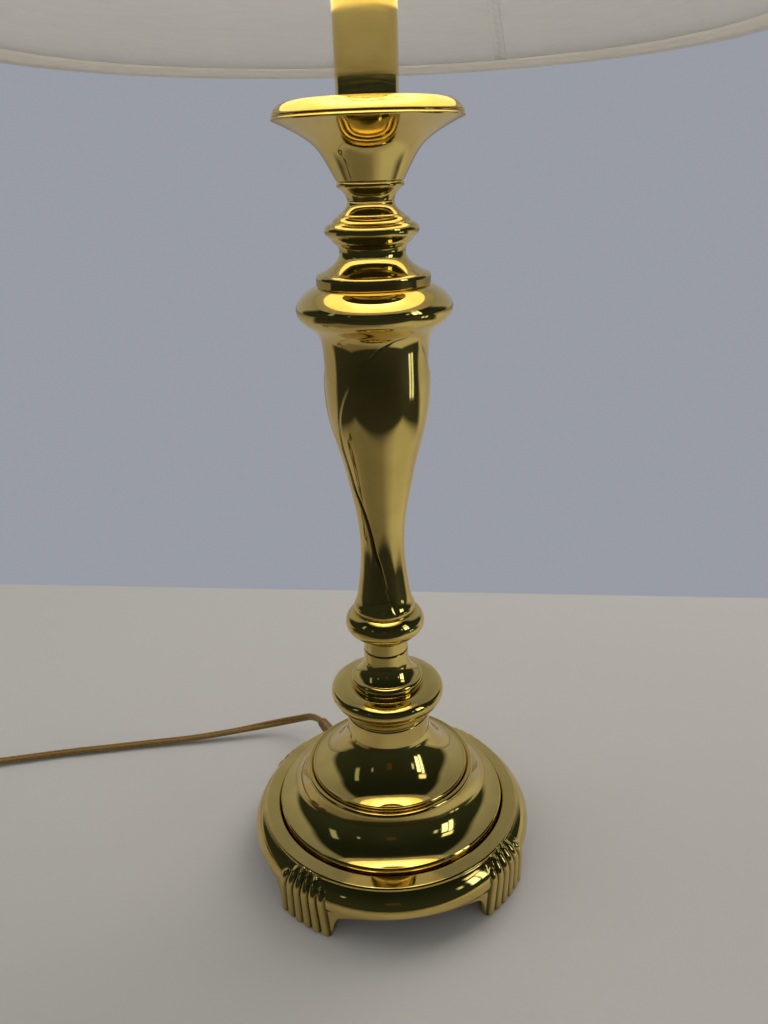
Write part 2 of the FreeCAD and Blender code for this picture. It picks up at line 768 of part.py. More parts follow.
def harp_route():
    """Corners of the harp's wire, from the left foot over the top to the right foot."""
    side = [
        (saddle_half_span, 0),
        (saddle_half_span, harp_leg_share),
        (harp_half_width, harp_bow_share),
        (harp_half_width, harp_shoulder_share),
        (harp_half_width * harp_neck_share, harp_corner_share),
        (harp_half_width * (1 - harp_neck_share), 1),
    ]
    left = [V(-out, 0, harp_bottom + harp_height * up) for out, up in side]
    right = [V(point.x * -1, 0, point.z) for point in reversed(left)]
    return left, right


def make_harp():
    left, right = harp_route()
    path, radii = rounded_path(left + right)
    wire = tube_along(path, harp_wire_radius)
    boss = cylinder(harp_boss_radius, harp_boss_height, boss_bottom)
    hole = cylinder(stud_pivot_radius + running_fit, harp_boss_height + 2 * overrun, boss_bottom - overrun)
    return wire.fuse(boss).cut(hole)


def make_sleeve(side):
    """Sleeve round one leg of the harp, open below for the saddle's ear."""
    centre = (side * saddle_half_span, 0)
    bore = harp_wire_radius + 2 * running_fit + ear_thickness
    shape = cylinder(sleeve_radius, sleeve_height, sleeve_bottom, centre)
    shape = shape.cut(cylinder(bore, sleeve_height - sleeve_top_thickness + overrun, sleeve_bottom - overrun, centre))
    return shape.cut(cylinder(harp_wire_radius + running_fit, sleeve_height + overrun, sleeve_bottom, centre))


def make_stud():
    flange = cylinder(stud_flange_radius, stud_flange_thickness, flange_bottom)
    pin = cylinder(stud_pin_radius, stud_pin_length, flange_bottom)
    pivot_bottom = boss_bottom - moving_gap - stud_rivet_thickness
    pivot = cylinder(stud_pivot_radius, flange_bottom - pivot_bottom, pivot_bottom)
    rivet = cylinder(stud_rivet_radius, stud_rivet_thickness, pivot_bottom)
    return flange.fuse([pin, pivot, rivet])


def make_finial():
    bore = stud_pin_radius + running_fit
    depth = finial_bottom + finial_bore_depth
    inner = [(0, depth), (bore, depth), (bore, finial_bottom)]
    return turned_piece(finial_shares, finial_radius, finial_height, finial_bottom, inner)


def shade_radius_at(height, inset):
    """Radius of the shade's cone at a height, a distance inside its outer surface."""
    slope = (shade_bottom_radius - shade_top_radius) / shade_height
    return shade_bottom_radius - (height - shade_bottom) * slope - inset * math.hypot(1, slope)


def cone_shell(outer_inset, inner_inset, bottom, top):
    """Layer of the shade's cone between two insets and two heights."""
    corners = [
        V(shade_radius_at(bottom, outer_inset), 0, bottom),
        V(shade_radius_at(top, outer_inset), 0, top),
        V(shade_radius_at(top, inner_inset), 0, top),
        V(shade_radius_at(bottom, inner_inset), 0, bottom),
    ]
    return Part.Face(Part.makePolygon(corners + corners[:1])).revolve(ORIGIN, AXIS, 360)


def make_fabric():
    return cone_shell(0, shade_cloth_thickness, shade_bottom, shade_top)


def make_lining():
    return cone_shell(shade_cloth_thickness, 2 * shade_cloth_thickness, shade_bottom, shade_top)


def make_trim(low):
    """Tape folded round an edge of the shade and the ring inside it."""
    inset = 2 * shade_cloth_thickness + 2 * shade_ring_inset
    edge = shade_bottom if low else shade_top
    inward = 1 if low else -1
    end = edge + inward * trim_height
    bottom, top = sorted((edge, end))
    outer_leg = cone_shell(-trim_thickness, 0, bottom, top)
    inner_leg = cone_shell(inset, inset + trim_thickness, bottom, top)
    rim = edge - inward * trim_thickness
    bottom, top = sorted((rim, edge))
    fold = cone_shell(-trim_thickness, inset + trim_thickness, bottom, top)
    tape = fold.fuse([outer_leg, inner_leg])
    return tape if low else tape.cut(spider_arms(spider_arm_radius + running_fit))


def ring_centre(low):
    """Place (out, height) of a shade ring's wire inside its trim."""
    edge = shade_bottom if low else shade_top
    height = edge + (1 if low else -1) * shade_ring_inset
    return shade_radius_at(height, 2 * shade_cloth_thickness + shade_ring_inset), height


def make_bottom_ring():
    out, height = ring_centre(True)
    return Part.makeTorus(out, ring_wire_radius, V(0, 0, height), AXIS)


def spider_arms(radius):
    """Arms from the spider's washer to the top ring."""
    out, height = ring_centre(False)
    arms = []
    for arm in range(spider_arm_count):
        azimuth = arm * 360 / spider_arm_count
        start = at(azimuth, spider_washer_radius - spider_arm_radius, spider_bottom + spider_washer_thickness / 2)
        run = at(azimuth, out, height) - start
        arms.append(Part.makeCylinder(radius, run.Length, start, run))
    return arms


def make_spider():
    """Top ring of the shade, three arms and the washer that sits on the stud."""
    out, height = ring_centre(False)
    hub = ring(
        spider_washer_radius, stud_pin_radius + loose_fit, spider_washer_thickness, spider_bottom
    )
    return hub.fuse([Part.makeTorus(out, ring_wire_radius, V(0, 0, height), AXIS)] + spider_arms(spider_arm_radius))


def make_socket_cap():
    inner = [(cap_radius - cap_wall, cap_bottom + cap_height)]
    inner += [(cap_radius - cap_wall, shell_bottom)]
    inner += hollow_points(cap_hollow_shares, cap_radius, cap_height, cap_bottom)
    inner += [(rod_radius, rod_top), (rod_radius, cap_bottom)]
    shape = turned_piece(cap_shares, cap_radius, cap_height, cap_bottom, inner)
    hole = Part.makeCylinder(
        set_screw_radius, cap_radius, V(0, 0, cap_bottom + cap_height * set_screw_height_share), V(0, 1, 0)
    )
    return shape.cut(hole)


def make_set_screw():
    height = cap_bottom + cap_height * set_screw_height_share
    return Part.makeCylinder(set_screw_radius, set_screw_length, V(0, rod_radius, height), V(0, 1, 0))


def switch_hole(radius):
    """Hole for the switch's shaft through the front of the socket."""
    return Part.makeCylinder(radius, cap_radius + overrun, V(0, 0, switch_height), V(0, -1, 0))


def make_socket_shell():
    shape = ring(shell_radius, shell_radius - shell_wall, shell_height, shell_bottom)
    return shape.cut(switch_hole(switch_shaft_radius + moving_gap))


def make_insulator():
    shape = ring(insulator_radius, insulator_radius - insulator_wall, insulator_height, shell_bottom)
    return shape.cut(switch_hole(switch_shaft_radius + moving_gap))


def make_socket_body():
    """Moulded puck with flats for the terminal screws and a hole for the switch's shaft."""
    shape = cylinder(socket_body_radius, socket_body_height, socket_body_bottom)
    half = Part.makeBox(
        2 * socket_body_flat, 2 * socket_body_radius, socket_body_height,
        V(-socket_body_flat, -socket_body_radius, socket_body_bottom),
    )
    shape = shape.common(half)
    shape = shape.cut(cylinder(inner_lead_radius + socket_body_bore_gap, socket_body_height / 2, socket_body_bottom))
    shaft = Part.makeCylinder(
        switch_shaft_radius + running_fit, socket_body_radius, V(0, -switch_shaft_depth, switch_height), V(0, -1, 0)
    )
    return shape.cut(shaft)


def make_screw_shell():
    return ring(screw_shell_bore + screw_shell_wall, screw_shell_bore, screw_shell_height, socket_body_top)


def make_contact():
    return cylinder(contact_radius, contact_thickness, socket_body_top)


def make_terminal_screw(side):
    """Head of a terminal screw on a flat of the socket body."""
    start = V(side * socket_body_flat, 0, switch_height)
    return Part.makeCylinder(terminal_screw_radius, terminal_screw_head, start, V(side, 0, 0))


def make_switch_shaft():
    start = V(0, -switch_shaft_depth - moving_gap, switch_height)
    length = switch_knob_reach + switch_knob_length / 2 - switch_shaft_depth - moving_gap
    return Part.makeCylinder(switch_shaft_radius, length, start, V(0, -1, 0))


def make_switch_knob():
    """Small round knob with grooves round its rim."""
    back = V(0, -1, 0)
    start = V(0, -switch_knob_reach, switch_height)
    neck_length = switch_knob_length / 4
    shape = Part.makeCylinder(switch_knob_neck_radius, switch_knob_length, start, back)
    grip = Part.makeCylinder(
        switch_knob_radius, switch_knob_length - neck_length, start + back * neck_length, back
    )
    shape = shape.fuse(grip)
    grooves = []
    for lobe in range(switch_knob_lobes):
        angle = 2 * math.pi * lobe / switch_knob_lobes
        place = V(switch_knob_radius * math.cos(angle), 0, switch_knob_radius * math.sin(angle))
        grooves.append(
            Part.makeCylinder(switch_knob_groove_radius, switch_knob_length, start + place + back * neck_length, back)
        )
    hole = Part.makeCylinder(switch_shaft_radius, switch_knob_length / 2, start, back)
    return shape.cut(grooves + [hole])


def make_bulb_base():
    return ring(bulb_base_radius, bulb_base_radius - bulb_base_wall, bulb_base_height, bulb_base_bottom)


def make_bulb_tip():
    """Insulating disc across the base, with the centre contact below it."""
    disc = cylinder(bulb_base_radius - bulb_base_wall, bulb_tip_height, bulb_base_bottom)
    return disc.fuse(cylinder(bulb_tip_radius, bulb_tip_height, bulb_tip_bottom))


def make_bulb_glass():
    outer = [V(bulb_base_radius - bulb_base_wall / 2, 0, bulb_bottom)]
    outer += profile_points(bulb_shares, bulb_radius, bulb_height, bulb_bottom)
    inner = []
    for point in outer[:-1]:
        inner.append(V(point.x - bulb_wall, 0, point.z))
    inner.append(V(0, 0, outer[-1].z - bulb_wall))
    edges = [
        stroke(outer),
        stroke([outer[-1], inner[-1]]),
        stroke(inner[::-1]),
        stroke([inner[0], outer[0]]),
    ]
    return Part.Face(Part.Wire(edges)).revolve(ORIGIN, AXIS, 360)


def make_inner_lead():
    """Wires from the bushing under the base and up through the rod to the socket body."""
    low = inner_lead_radius + inner_lead_floor_gap
    points = [
        V(0, 0, socket_body_bottom + socket_body_height / 2),
        V(0, 0, low),
        at(cord_azimuth, inner_lead_turn_place, low),
        at(cord_azimuth, inner_lead_rise_place, inner_lead_rise_height),
        at(cord_azimuth, bushing_inner_end(), cord_hole_height),
    ]
    path, radii = rounded_path(points)
    print("inner lead radii", [round(radius, 1) for radius in radii])
    return tube_along(path, inner_lead_radius)


def bushing_inner_end():
    """Distance from the axis to the bushing's inner end."""
    return casting_radius * casting_hollow_shares[1][0] - bushing_inside


def make_bushing():
    """Flanged bushing in the skirt's hole with a tapered sleeve outside."""
    heading = at(cord_azimuth, 1, 0)
    inner_end = at(cord_azimuth, bushing_inner_end(), cord_hole_height)
    face = at(cord_azimuth, casting_radius, cord_hole_height)
    length = casting_radius - bushing_inner_end()
    barrel = Part.makeCylinder(bushing_radius, length, inner_end, heading)
    flange = Part.makeCylinder(bushing_flange_radius, bushing_flange_thickness, face, heading)
    taper = Part.makeCone(bushing_radius, bushing_tip_radius, bushing_length, face, heading)
    return barrel.fuse([flange, taper])


def cord_route():
    """Points of the cord from the bushing's tip to the straight that leads into the coil."""
    tip = at(cord_azimuth, casting_radius + bushing_length, cord_hole_height)
    start = coil_place(0) - coil_heading(0) * coil_lead_length
    return [tip] + [V(*place) for place in cord_points] + [start]


def make_cord_lead():
    points = cord_route()
    path, radii = rounded_path(points)
    print("cord radii", [round(radius, 1) for radius in radii])
    shape = tube_along(path, cord_radius)
    section = math.pi * cord_radius ** 2
    print("cord lead length %.1f, volume against section times length %.4f" % (
        path.Length, shape.Volume / (section * path.Length)))
    return shape


def coil_place(turns):
    """Place on the coil's line after a number of turns: in on the lower layer, out on the upper one."""
    half = (coil_turns - coil_rise_turns) / 2
    inner_radius = coil_outer_radius - coil_pitch * half
    if turns <= half:
        radius = coil_outer_radius - coil_pitch * turns
        rise = 0
    elif turns >= half + coil_rise_turns:
        radius = inner_radius + coil_pitch * (turns - half - coil_rise_turns)
        rise = 1
    else:
        part = (turns - half) / coil_rise_turns
        radius = inner_radius - coil_pitch * coil_rise_turns * part * (1 - part)
        rise = part * part * (3 - 2 * part)
    angle = math.radians(coil_start_angle + 360 * turns)
    low = cord_radius + tie_thickness + tie_gap
    return V(
        coil_centre[0] + radius * math.cos(angle),
        coil_centre[1] + radius * math.sin(angle),
        low + coil_layer_pitch * rise,
    )


def coil_heading(turns):
    """Direction of the coil's line after a number of turns."""
    step = 1 / 4096
    return (coil_place(turns + step) - coil_place(turns - step)).normalize()


def make_coil():
    """Coil wound as one unbroken tube, with a straight lead-in and a straight tail to the plug."""
    count = round(coil_turns * coil_biarcs_per_turn)
    stations = [coil_turns * index / count for index in range(count + 1)]
    start = coil_place(0)
    edges = [Part.LineSegment(start - coil_heading(0) * coil_lead_length, start).toShape()]
    for first, second in zip(stations, stations[1:]):
        edges += biarc(coil_place(first), coil_heading(first), coil_place(second), coil_heading(second))
    tail, radii = rounded_path([coil_place(coil_turns)] + tail_route())
    path = Part.Wire(edges + tail.Edges)
    samples = path.discretize(Distance=1.0)
    gap = least_gap(samples)
    print("coil length %.1f, least gap to itself %.2f" % (path.Length, gap - 2 * cord_radius))
    return tube_along(path, cord_radius)


def tail_route():
    """Points of the tail, which runs straight off the coil and sinks to the plug."""
    end = coil_place(coil_turns)
    heading = coil_heading(coil_turns)
    return [end + heading * along - AXIS * drop for along, drop in tail_points]


def least_gap(samples):
    """Least distance between two places of the coil's line more than half a turn apart along it."""
    apart = round(math.pi * coil_outer_radius / 2)
    least = coil_outer_radius
    for index, here in enumerate(samples):
        for there in samples[index + apart:]:
            if abs(here.x - there.x) < least and abs(here.y - there.y) < least:
                least = min(least, here.distanceToPoint(there))
    return least


def make_tie():
    """Band round the turns of the coil, as close as the turns allow."""
    count = round(coil_turns * 360)
    angle = math.radians(tie_azimuth - 90)
    along = V(math.cos(angle), math.sin(angle), 0)
    across = V(-along.y, along.x, 0)
    reaches = []
    for index in range(count + 1):
        place = coil_place(coil_turns * index / count) - V(coil_centre[0], coil_centre[1], 0)
        if abs(place.dot(across)) < tie_width / 2 and place.dot(along) > 0:
            reaches.append(place.dot(along))
    inner = min(reaches) - cord_radius - tie_gap
    outer = max(reaches) + cord_radius + tie_gap
    height = 2 * cord_radius + coil_layer_pitch + 2 * tie_gap
    hole = Part.makeBox(
        outer - inner, tie_width + 2 * overrun, height, V(inner, -tie_width / 2 - overrun, tie_thickness)
    )
    band = Part.makeBox(
        outer - inner + 2 * tie_thickness, tie_width, height + 2 * tie_thickness,
        V(inner - tie_thickness, -tie_width / 2, 0),
    )
    shape = band.cut(hole)
    shape.rotate(ORIGIN, AXIS, tie_azimuth - 90)
    shape.translate(V(coil_centre[0], coil_centre[1], 0))
    return shape


def plug_frame():
    """Start, heading and side of the plug, which lies at the coil's tail."""
    heading = coil_heading(coil_turns)
    heading.z = 0
    heading = heading.normalize()
    return tail_route()[-1], heading, V(-heading.y, heading.x, 0)


def make_plug_body():
    """Tapered sleeve and a block with rounded corners, lying flat on the floor."""
    start, heading, side = plug_frame()
    sleeve = Part.makeCone(plug_sleeve_tip_radius, plug_sleeve_radius, plug_sleeve_length, start, heading)
    height = 2 * start.z
    base = start + heading * plug_sleeve_length
    corners = []
    for along, across in plug_outline_shares:
        place = base + heading * (plug_length * along) + side * (plug_width * across)
        corners.append(V(place.x, place.y, 0))
    block = prism(corners, V(0, 0, height))
    block = block.makeFillet(plug_corner, [edge for edge in block.Edges if abs(edge.tangentAt(0).z) > 0.9])
    shape = block.fuse(sleeve)
    return shape.cut([make_blade(-1), make_blade(1)])


def make_blade(side):
    """Flat blade of the plug with a hole near its tip."""
    start, heading, across = plug_frame()
    face = start + heading * (plug_sleeve_length + plug_length)
    root = face - heading * blade_root + across * (side * blade_spacing / 2 - blade_thickness / 2)
    root = root - V(0, 0, blade_width / 2)
    rise = V(0, 0, blade_width)
    blade = prism([root, root + across * blade_thickness, root + across * blade_thickness + rise, root + rise],
                  heading * (blade_root + blade_length))
    middle = root + heading * (blade_root + blade_length - 2 * blade_hole_radius) + rise / 2
    hole = Part.makeCylinder(blade_hole_radius, blade_thickness + 2 * overrun, middle - across * overrun, across)
    return blade.cut(hole)


PIECES = {
    "base_casting": make_casting,
    "base_body": make_body,
    "base_dome": make_dome,
    "lower_knop": make_knop_low,
    "column_collar": make_collar,
    "column": make_column,
    "upper_knop": make_knop_up,
    "candle_cup": make_cup,
    "drip_pan": make_pan,
    "candle_tube": make_tube,
    "tube_cap": make_tube_cap,
    "threaded_rod": make_rod,
    "base_weight": make_weight,
    "base_washer": make_washer,
    "base_nut": make_nut,
    "harp_saddle": make_saddle,
    "harp": make_harp,
    "harp_sleeve_left": lambda: make_sleeve(-1),
    "harp_sleeve_right": lambda: make_sleeve(1),
    "harp_stud": make_stud,
    "finial": make_finial,
    "shade_fabric": make_fabric,
    "shade_lining": make_lining,
    "shade_trim_bottom": lambda: make_trim(True),
    "shade_trim_top": lambda: make_trim(False),
    "shade_bottom_ring": make_bottom_ring,
    "shade_spider": make_spider,
    "socket_cap": make_socket_cap,
    "socket_set_screw": make_set_screw,
    "socket_shell": make_socket_shell,
    "socket_insulator": make_insulator,
    "socket_body": make_socket_body,
    "socket_screw_shell": make_screw_shell,
    "socket_contact": make_contact,
    "terminal_screw_left": lambda: make_terminal_screw(-1),
    "terminal_screw_right": lambda: make_terminal_screw(1),
    "switch_shaft": make_switch_shaft,
    "switch_knob": make_switch_knob,
    "bulb_base": make_bulb_base,
    "bulb_tip": make_bulb_tip,
    "bulb_glass": make_bulb_glass,
    "inner_lead": make_inner_lead,
    "cord_bushing": make_bushing,
    "cord_lead": make_cord_lead,
    "cord_coil": make_coil,
    "cord_tie": make_tie,
    "plug_body": make_plug_body,
    "plug_blade_left": lambda: make_blade(-1),
    "plug_blade_right": lambda: make_blade(1),
}

os.makedirs("parts", exist_ok=True)
for name, make in PIECES.items():
    piece = make()
    box = piece.BoundBox
    print("%-18s solids %d valid %s volume %10.1f  x %.1f %.1f  y %.1f %.1f  z %.2f %.2f" % (
        name, len(piece.Solids), piece.isValid(), piece.Volume, box.XMin, box.XMax, box.YMin, box.YMax, box.ZMin,
        box.ZMax))
    piece.exportStep("parts/%s.step" % name)
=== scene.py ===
"""Candle lamp with shade: its visible pieces, materials, camera and light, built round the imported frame."""
import math

import bpy
import numpy as np
from mathutils import Matrix, Vector


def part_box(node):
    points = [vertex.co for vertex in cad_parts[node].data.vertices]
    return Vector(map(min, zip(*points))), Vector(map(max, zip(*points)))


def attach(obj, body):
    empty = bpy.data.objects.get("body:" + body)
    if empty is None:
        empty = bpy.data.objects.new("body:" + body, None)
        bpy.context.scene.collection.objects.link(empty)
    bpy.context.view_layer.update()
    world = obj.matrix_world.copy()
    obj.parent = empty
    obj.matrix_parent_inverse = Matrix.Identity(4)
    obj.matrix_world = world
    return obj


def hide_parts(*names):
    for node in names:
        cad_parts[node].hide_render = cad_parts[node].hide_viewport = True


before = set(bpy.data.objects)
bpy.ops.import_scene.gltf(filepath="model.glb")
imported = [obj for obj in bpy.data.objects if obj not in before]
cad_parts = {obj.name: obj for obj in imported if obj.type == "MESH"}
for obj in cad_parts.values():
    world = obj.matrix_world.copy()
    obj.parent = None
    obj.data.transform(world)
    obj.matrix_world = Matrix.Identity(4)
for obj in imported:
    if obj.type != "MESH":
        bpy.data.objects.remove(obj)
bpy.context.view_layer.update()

MM = 0.001
SEGMENTS = 288
link_object = bpy.context.scene.collection.objects.link


def low(node):
    return Vector(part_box(node)[0])


def high(node):
    return Vector(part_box(node)[1])


def radius_of(node):
    return (high(node).x - low(node).x) / 2


def circle(count):
    return np.linspace(0, 2 * math.pi, count, endpoint=False)


# Turned outlines, bottom up, as strokes of places (radius, height) in thousandths of the piece's own.
# A stroke starts where the one before it ends, with a corner between them. One place more makes a line,
# more places a smooth curve.
CASTING = [
    [(989, 510), (999, 580), (996, 665), (979, 760), (949, 855), (916, 922)], [(916, 955)], [(906, 972)],
    [(824, 1000)], [(816, 990)], [(813, 960)],
]
FOOT = [
    [(990, 0), (994.5, 280), (998, 480), (999, 590), (995, 680), (979, 765), (949, 858), (914, 926)],
]
BODY = [
    [(999, 0), (999, 150)], [(989, 189)], [(915, 279), (835, 450), (779, 675), (743, 943)],
    [(737, 1007), (723, 1036), (705, 1029), (696, 1000)],
]
DOME = [
    [(996, 0), (1000, 24), (983, 63)], [(961, 63)], [(853, 129), (717, 272), (605, 461), (533, 636)],
    [(517, 706)], [(517, 1000)],
]
KNOP_LOW = [
    [(735, 0), (718, 36)],
    [(773, 98), (873, 174), (964, 259), (1000, 352), (967, 423), (873, 463), (751, 478), (624, 480)],
    [(638, 531), (627, 582), (586, 609)], [(564, 611)], [(489, 671), (423, 760), (390, 862)], [(387, 1000)],
]
COLLAR = [
    [(561, 0), (561, 269)],
    [(630, 343), (772, 406), (890, 483), (976, 584), (1000, 703), (967, 815), (898, 906), (797, 976)],
    [(756, 976)], [(756, 1000)],
]
COLUMN = [
    [(440, 0), (448, 12), (420, 30), (370, 80), (336, 135), (320, 180), (317, 230), (336, 290), (374, 345),
     (425, 400), (474, 450), (525, 500), (588, 550), (644, 600), (686, 650), (705, 700), (709, 740),
     (706, 780), (706, 815), (713, 841), (744, 869), (821, 890), (915, 906), (984, 925), (998, 946),
     (962, 963), (871, 984), (744, 1000)],
]
KNOP_UP = [
    [(984, 0), (1000, 19)], [(1000, 113)], [(984, 146), (932, 167)],
    [(795, 212), (671, 278), (593, 354), (573, 425)], [(599, 481), (645, 514)], [(664, 519)],
    [(704, 566), (762, 604)], [(785, 611)], [(811, 646), (814, 684), (779, 731)], [(723, 755), (684, 762)],
    [(671, 781)], [(625, 816), (567, 835)], [(554, 854)], [(476, 896), (423, 946), (404, 1000)],
]
CUP = [
    [(249, 0), (261, 60), (294, 121), (331, 161)], [(345, 166)], [(359, 191), (359, 219), (347, 241)],
    [(359, 251)], [(416, 382), (478, 518), (555, 648), (653, 749), (808, 859), (992, 962)], [(1000, 980)],
    [(994, 1000)],
]
PAN = [
    [(992, 0), (1000, 107), (986, 347), (940, 680), (878, 907), (804, 1000), (730, 907), (672, 640)],
    [(594, 320), (495, 187), (363, 160)],
]
# The inner walls of the hollow pieces, top down, and the drip pan's underside, from the axis outwards
BODY_INNER = [(590, 1000), (590, 900), (700, 900), (735, 640), (793, 395), (875, 220), (955, 110), (955, 0)]
DOME_INNER = [(103, 1000), (103, 880), (445, 880), (445, 620), (525, 420), (660, 195), (830, 50), (880, 0)]
CUP_INNER = [(955, 1000), (955, 982), (790, 900), (620, 785), (510, 660), (432, 540), (328, 430), (328, 286),
             (108, 286), (108, 0)]
PAN_UNDER = [(495, 0), (602, 130), (672, 440), (740, 740), (804, 827), (868, 740), (925, 510), (960, 200),
             (965, 0)]

# Distance between the points of the outlines
LINE_STEP, CASTING_STEP, COLUMN_STEP, FINE_STEP, PAN_STEP = 0.9 * MM, 0.7 * MM, 0.6 * MM, 0.1 * MM, 1.2 * MM
# How far a corner is eased along its strokes, at most what share of a short one, and from what turn on
CORNER_REACH, CORNER_SHARE, CORNER_TURN = 0.3 * MM, 0.3, math.radians(12)
# Points inside an eased corner, and how many reaches off its support point and the rest stand
ARC_POINTS, SUPPORT_AT, REST_FROM = 5, 1.35, 1.45


def eased(share):
    return share * share * (3 - 2 * share)


def smooth_points(places, step):
    """Points about a step apart on the smooth curve through places (two places give their line)."""
    places = np.asarray(places, float)
    chords = np.linalg.norm(np.diff(places, axis=0), axis=1)
    if len(places) == 2:
        count = max(2, int(chords[0] / step) + 1)
        return places[0] + np.linspace(0, 1, count)[:, None] * (places[1] - places[0])
    size = len(places)
    slopes = (places[1:] - places[:-1]) / chords[:, None]
    matrix = np.zeros((size, size))
    right = np.zeros_like(places)
    matrix[0, 0] = matrix[-1, -1] = 1
    right[0] = slopes[0] + (slopes[0] - slopes[1]) * chords[0] / (chords[0] + chords[1])
    right[-1] = slopes[-1] + (slopes[-1] - slopes[-2]) * chords[-1] / (chords[-1] + chords[-2])
    for i in range(1, size - 1):
        before, after = chords[i - 1], chords[i]
        matrix[i, i - 1:i + 2] = [after, 2 * (before + after), before]
        right[i] = 3 * (after * slopes[i - 1] + before * slopes[i])
    tangents = np.linalg.solve(matrix, right)
    found = [places[0]]
    for i, chord in enumerate(chords):
        count = max(2, int(math.ceil(chord / step)))
        t = (np.arange(1, count + 1) / count)[:, None]
        bend = chord * t * (1 - t) * ((1 - t) * tangents[i] - t * tangents[i + 1])
        found.extend((1 - eased(t)) * places[i] + eased(t) * places[i + 1] + bend)
    return np.array(found)


def scaled(places, radius, height, bottom):
    """Places in metres from places in thousandths of a radius and a height."""
    return [(radius * (r / 1000), bottom + height * (z / 1000)) for r, z in places]


def trimmed(run, reach):
    """Run of points without its first stretch, and with a support point just after the cut."""
    lengths = np.concatenate([[0], np.cumsum(np.linalg.norm(np.diff(run, axis=0), axis=1))])
    kept = [np.array([np.interp(at, lengths, run[:, k]) for k in range(2)])
            for at in (reach, reach * SUPPORT_AT)]
    rest = run[lengths > reach * REST_FROM]
    return np.vstack(kept + [rest]) if len(rest) else np.vstack([kept[0], run[-1:]])


def outline(strokes, radius, height, bottom=0.0, step=LINE_STEP):
    """Half section (radius, height) of a turned piece, with the corners between its strokes eased."""
    joined, last = [], []
    for stroke in strokes:
        run = smooth_points(scaled(last + stroke, radius, height, bottom), step)
        last = stroke[-1:]
        if joined:
            before = joined[-1]
            into, away = before[-1] - before[-2], run[1] - run[0]
            if math.atan2(abs(into[0] * away[1] - into[1] * away[0]), into @ away) < CORNER_TURN:
                run = run[1:]
            else:
                reach = min([CORNER_REACH] + [CORNER_SHARE * np.linalg.norm(part[-1] - part[0])
                                              for part in (before, run)])
                left, right = trimmed(before[::-1], reach)[::-1], trimmed(run, reach)
                t = np.linspace(0, 1, ARC_POINTS + 2)[1:-1, None]
                arc = (1 - t) ** 2 * left[-1] + 2 * t * (1 - t) * run[0] + t**2 * right[0]
                joined[-1] = left
                run = np.vstack([arc, right])
        joined.append(run)
    return np.vstack(joined)


def round_axis(out, azimuth, z):
    """Points at a distance from the axis and an azimuth, in degrees from the front towards the right."""
    out, azimuth, z = np.broadcast_arrays(out, np.radians(azimuth), z)
    return np.stack([out * np.sin(azimuth), -out * np.cos(azimuth), z], -1)


def mesh_object(name, vertices, faces, smooth=True):
    data = bpy.data.meshes.new(name)
    data.from_pydata(vertices, [], faces)
    data.validate()
    if smooth:
        data.shade_smooth()
    piece = bpy.data.objects.new(name, data)
    link_object(piece)
    return piece


def grid_object(name, points, ring=False):
    """Closed mesh of rows of points, each a loop. A ring's last row joins its first, else both are capped."""
    points = np.asarray(points, float)
    rows, columns = points.shape[:2]
    down, along = np.arange(rows if ring else rows - 1), np.arange(columns)
    i, j = (grid.ravel() for grid in np.meshgrid(down, along, indexing="ij"))
    i2, j2 = (i + 1) % rows, (j + 1) % columns
    corners = [i * columns + j, i * columns + j2, i2 * columns + j2, i2 * columns + j]
    faces = np.stack(corners, 1).tolist()
    if not ring:
        faces += [along[::-1].tolist(), (along + (rows - 1) * columns).tolist()]
    return mesh_object(name, points.reshape(-1, 3).tolist(), faces)


def turned(name, section, segments=SEGMENTS):
    """Closed ring-shaped solid of revolution from a closed section listed bottom up on its outside."""
    r, z = np.asarray(section, float).T[:, :, None]
    x, y = r * np.cos(circle(segments)), r * np.sin(circle(segments))
    return grid_object(name, np.stack(np.broadcast_arrays(x, y, z), -1), True)


def tube(name, path, section, twist=None):
    """Tube along a path, its section given as (across, up) pairs. A twist turns the section from the level,
    and without one it is carried along the path unturned."""
    path = np.asarray(path, float)
    ahead = np.gradient(path, axis=0)
    ahead /= np.linalg.norm(ahead, axis=1)[:, None]
    across = np.cross(ahead, (0, 0, 1))
    across /= np.linalg.norm(across, axis=1)[:, None]
    if twist is None:
        for i in range(1, len(path)):
            side = across[i - 1] - ahead[i] * (across[i - 1] @ ahead[i])
            across[i] = side / np.linalg.norm(side)
        twist = np.zeros(len(path))
    upward = np.cross(across, ahead)
    cos, sin = np.cos(twist)[:, None, None], np.sin(twist)[:, None, None]
    x, y = section[None, :, :1], section[None, :, 1:]
    sideways, up = (x * cos - y * sin) * across[:, None], (x * sin + y * cos) * upward[:, None]
    return grid_object(name, path[:, None] + sideways + up)


def route_points(points):
    """Points of the smooth line that follows a route's control points."""
    data = bpy.data.curves.new("route", "CURVE")
    data.dimensions = "3D"
    spline = data.splines.new("NURBS")
    spline.points.add(len(points) - 1)
    for control, place in zip(spline.points, points):
        control.co = (*place, 1)
    spline.order_u = 3
    spline.use_endpoint_u = True
    spline.resolution_u = 16
    holder = bpy.data.objects.new("route", data)
    mesh = bpy.data.meshes.new_from_object(holder)
    line = np.array([tuple(v.co) for v in mesh.vertices])
    bpy.data.meshes.remove(mesh)
    bpy.data.objects.remove(holder)
    bpy.data.curves.remove(data)
    return line


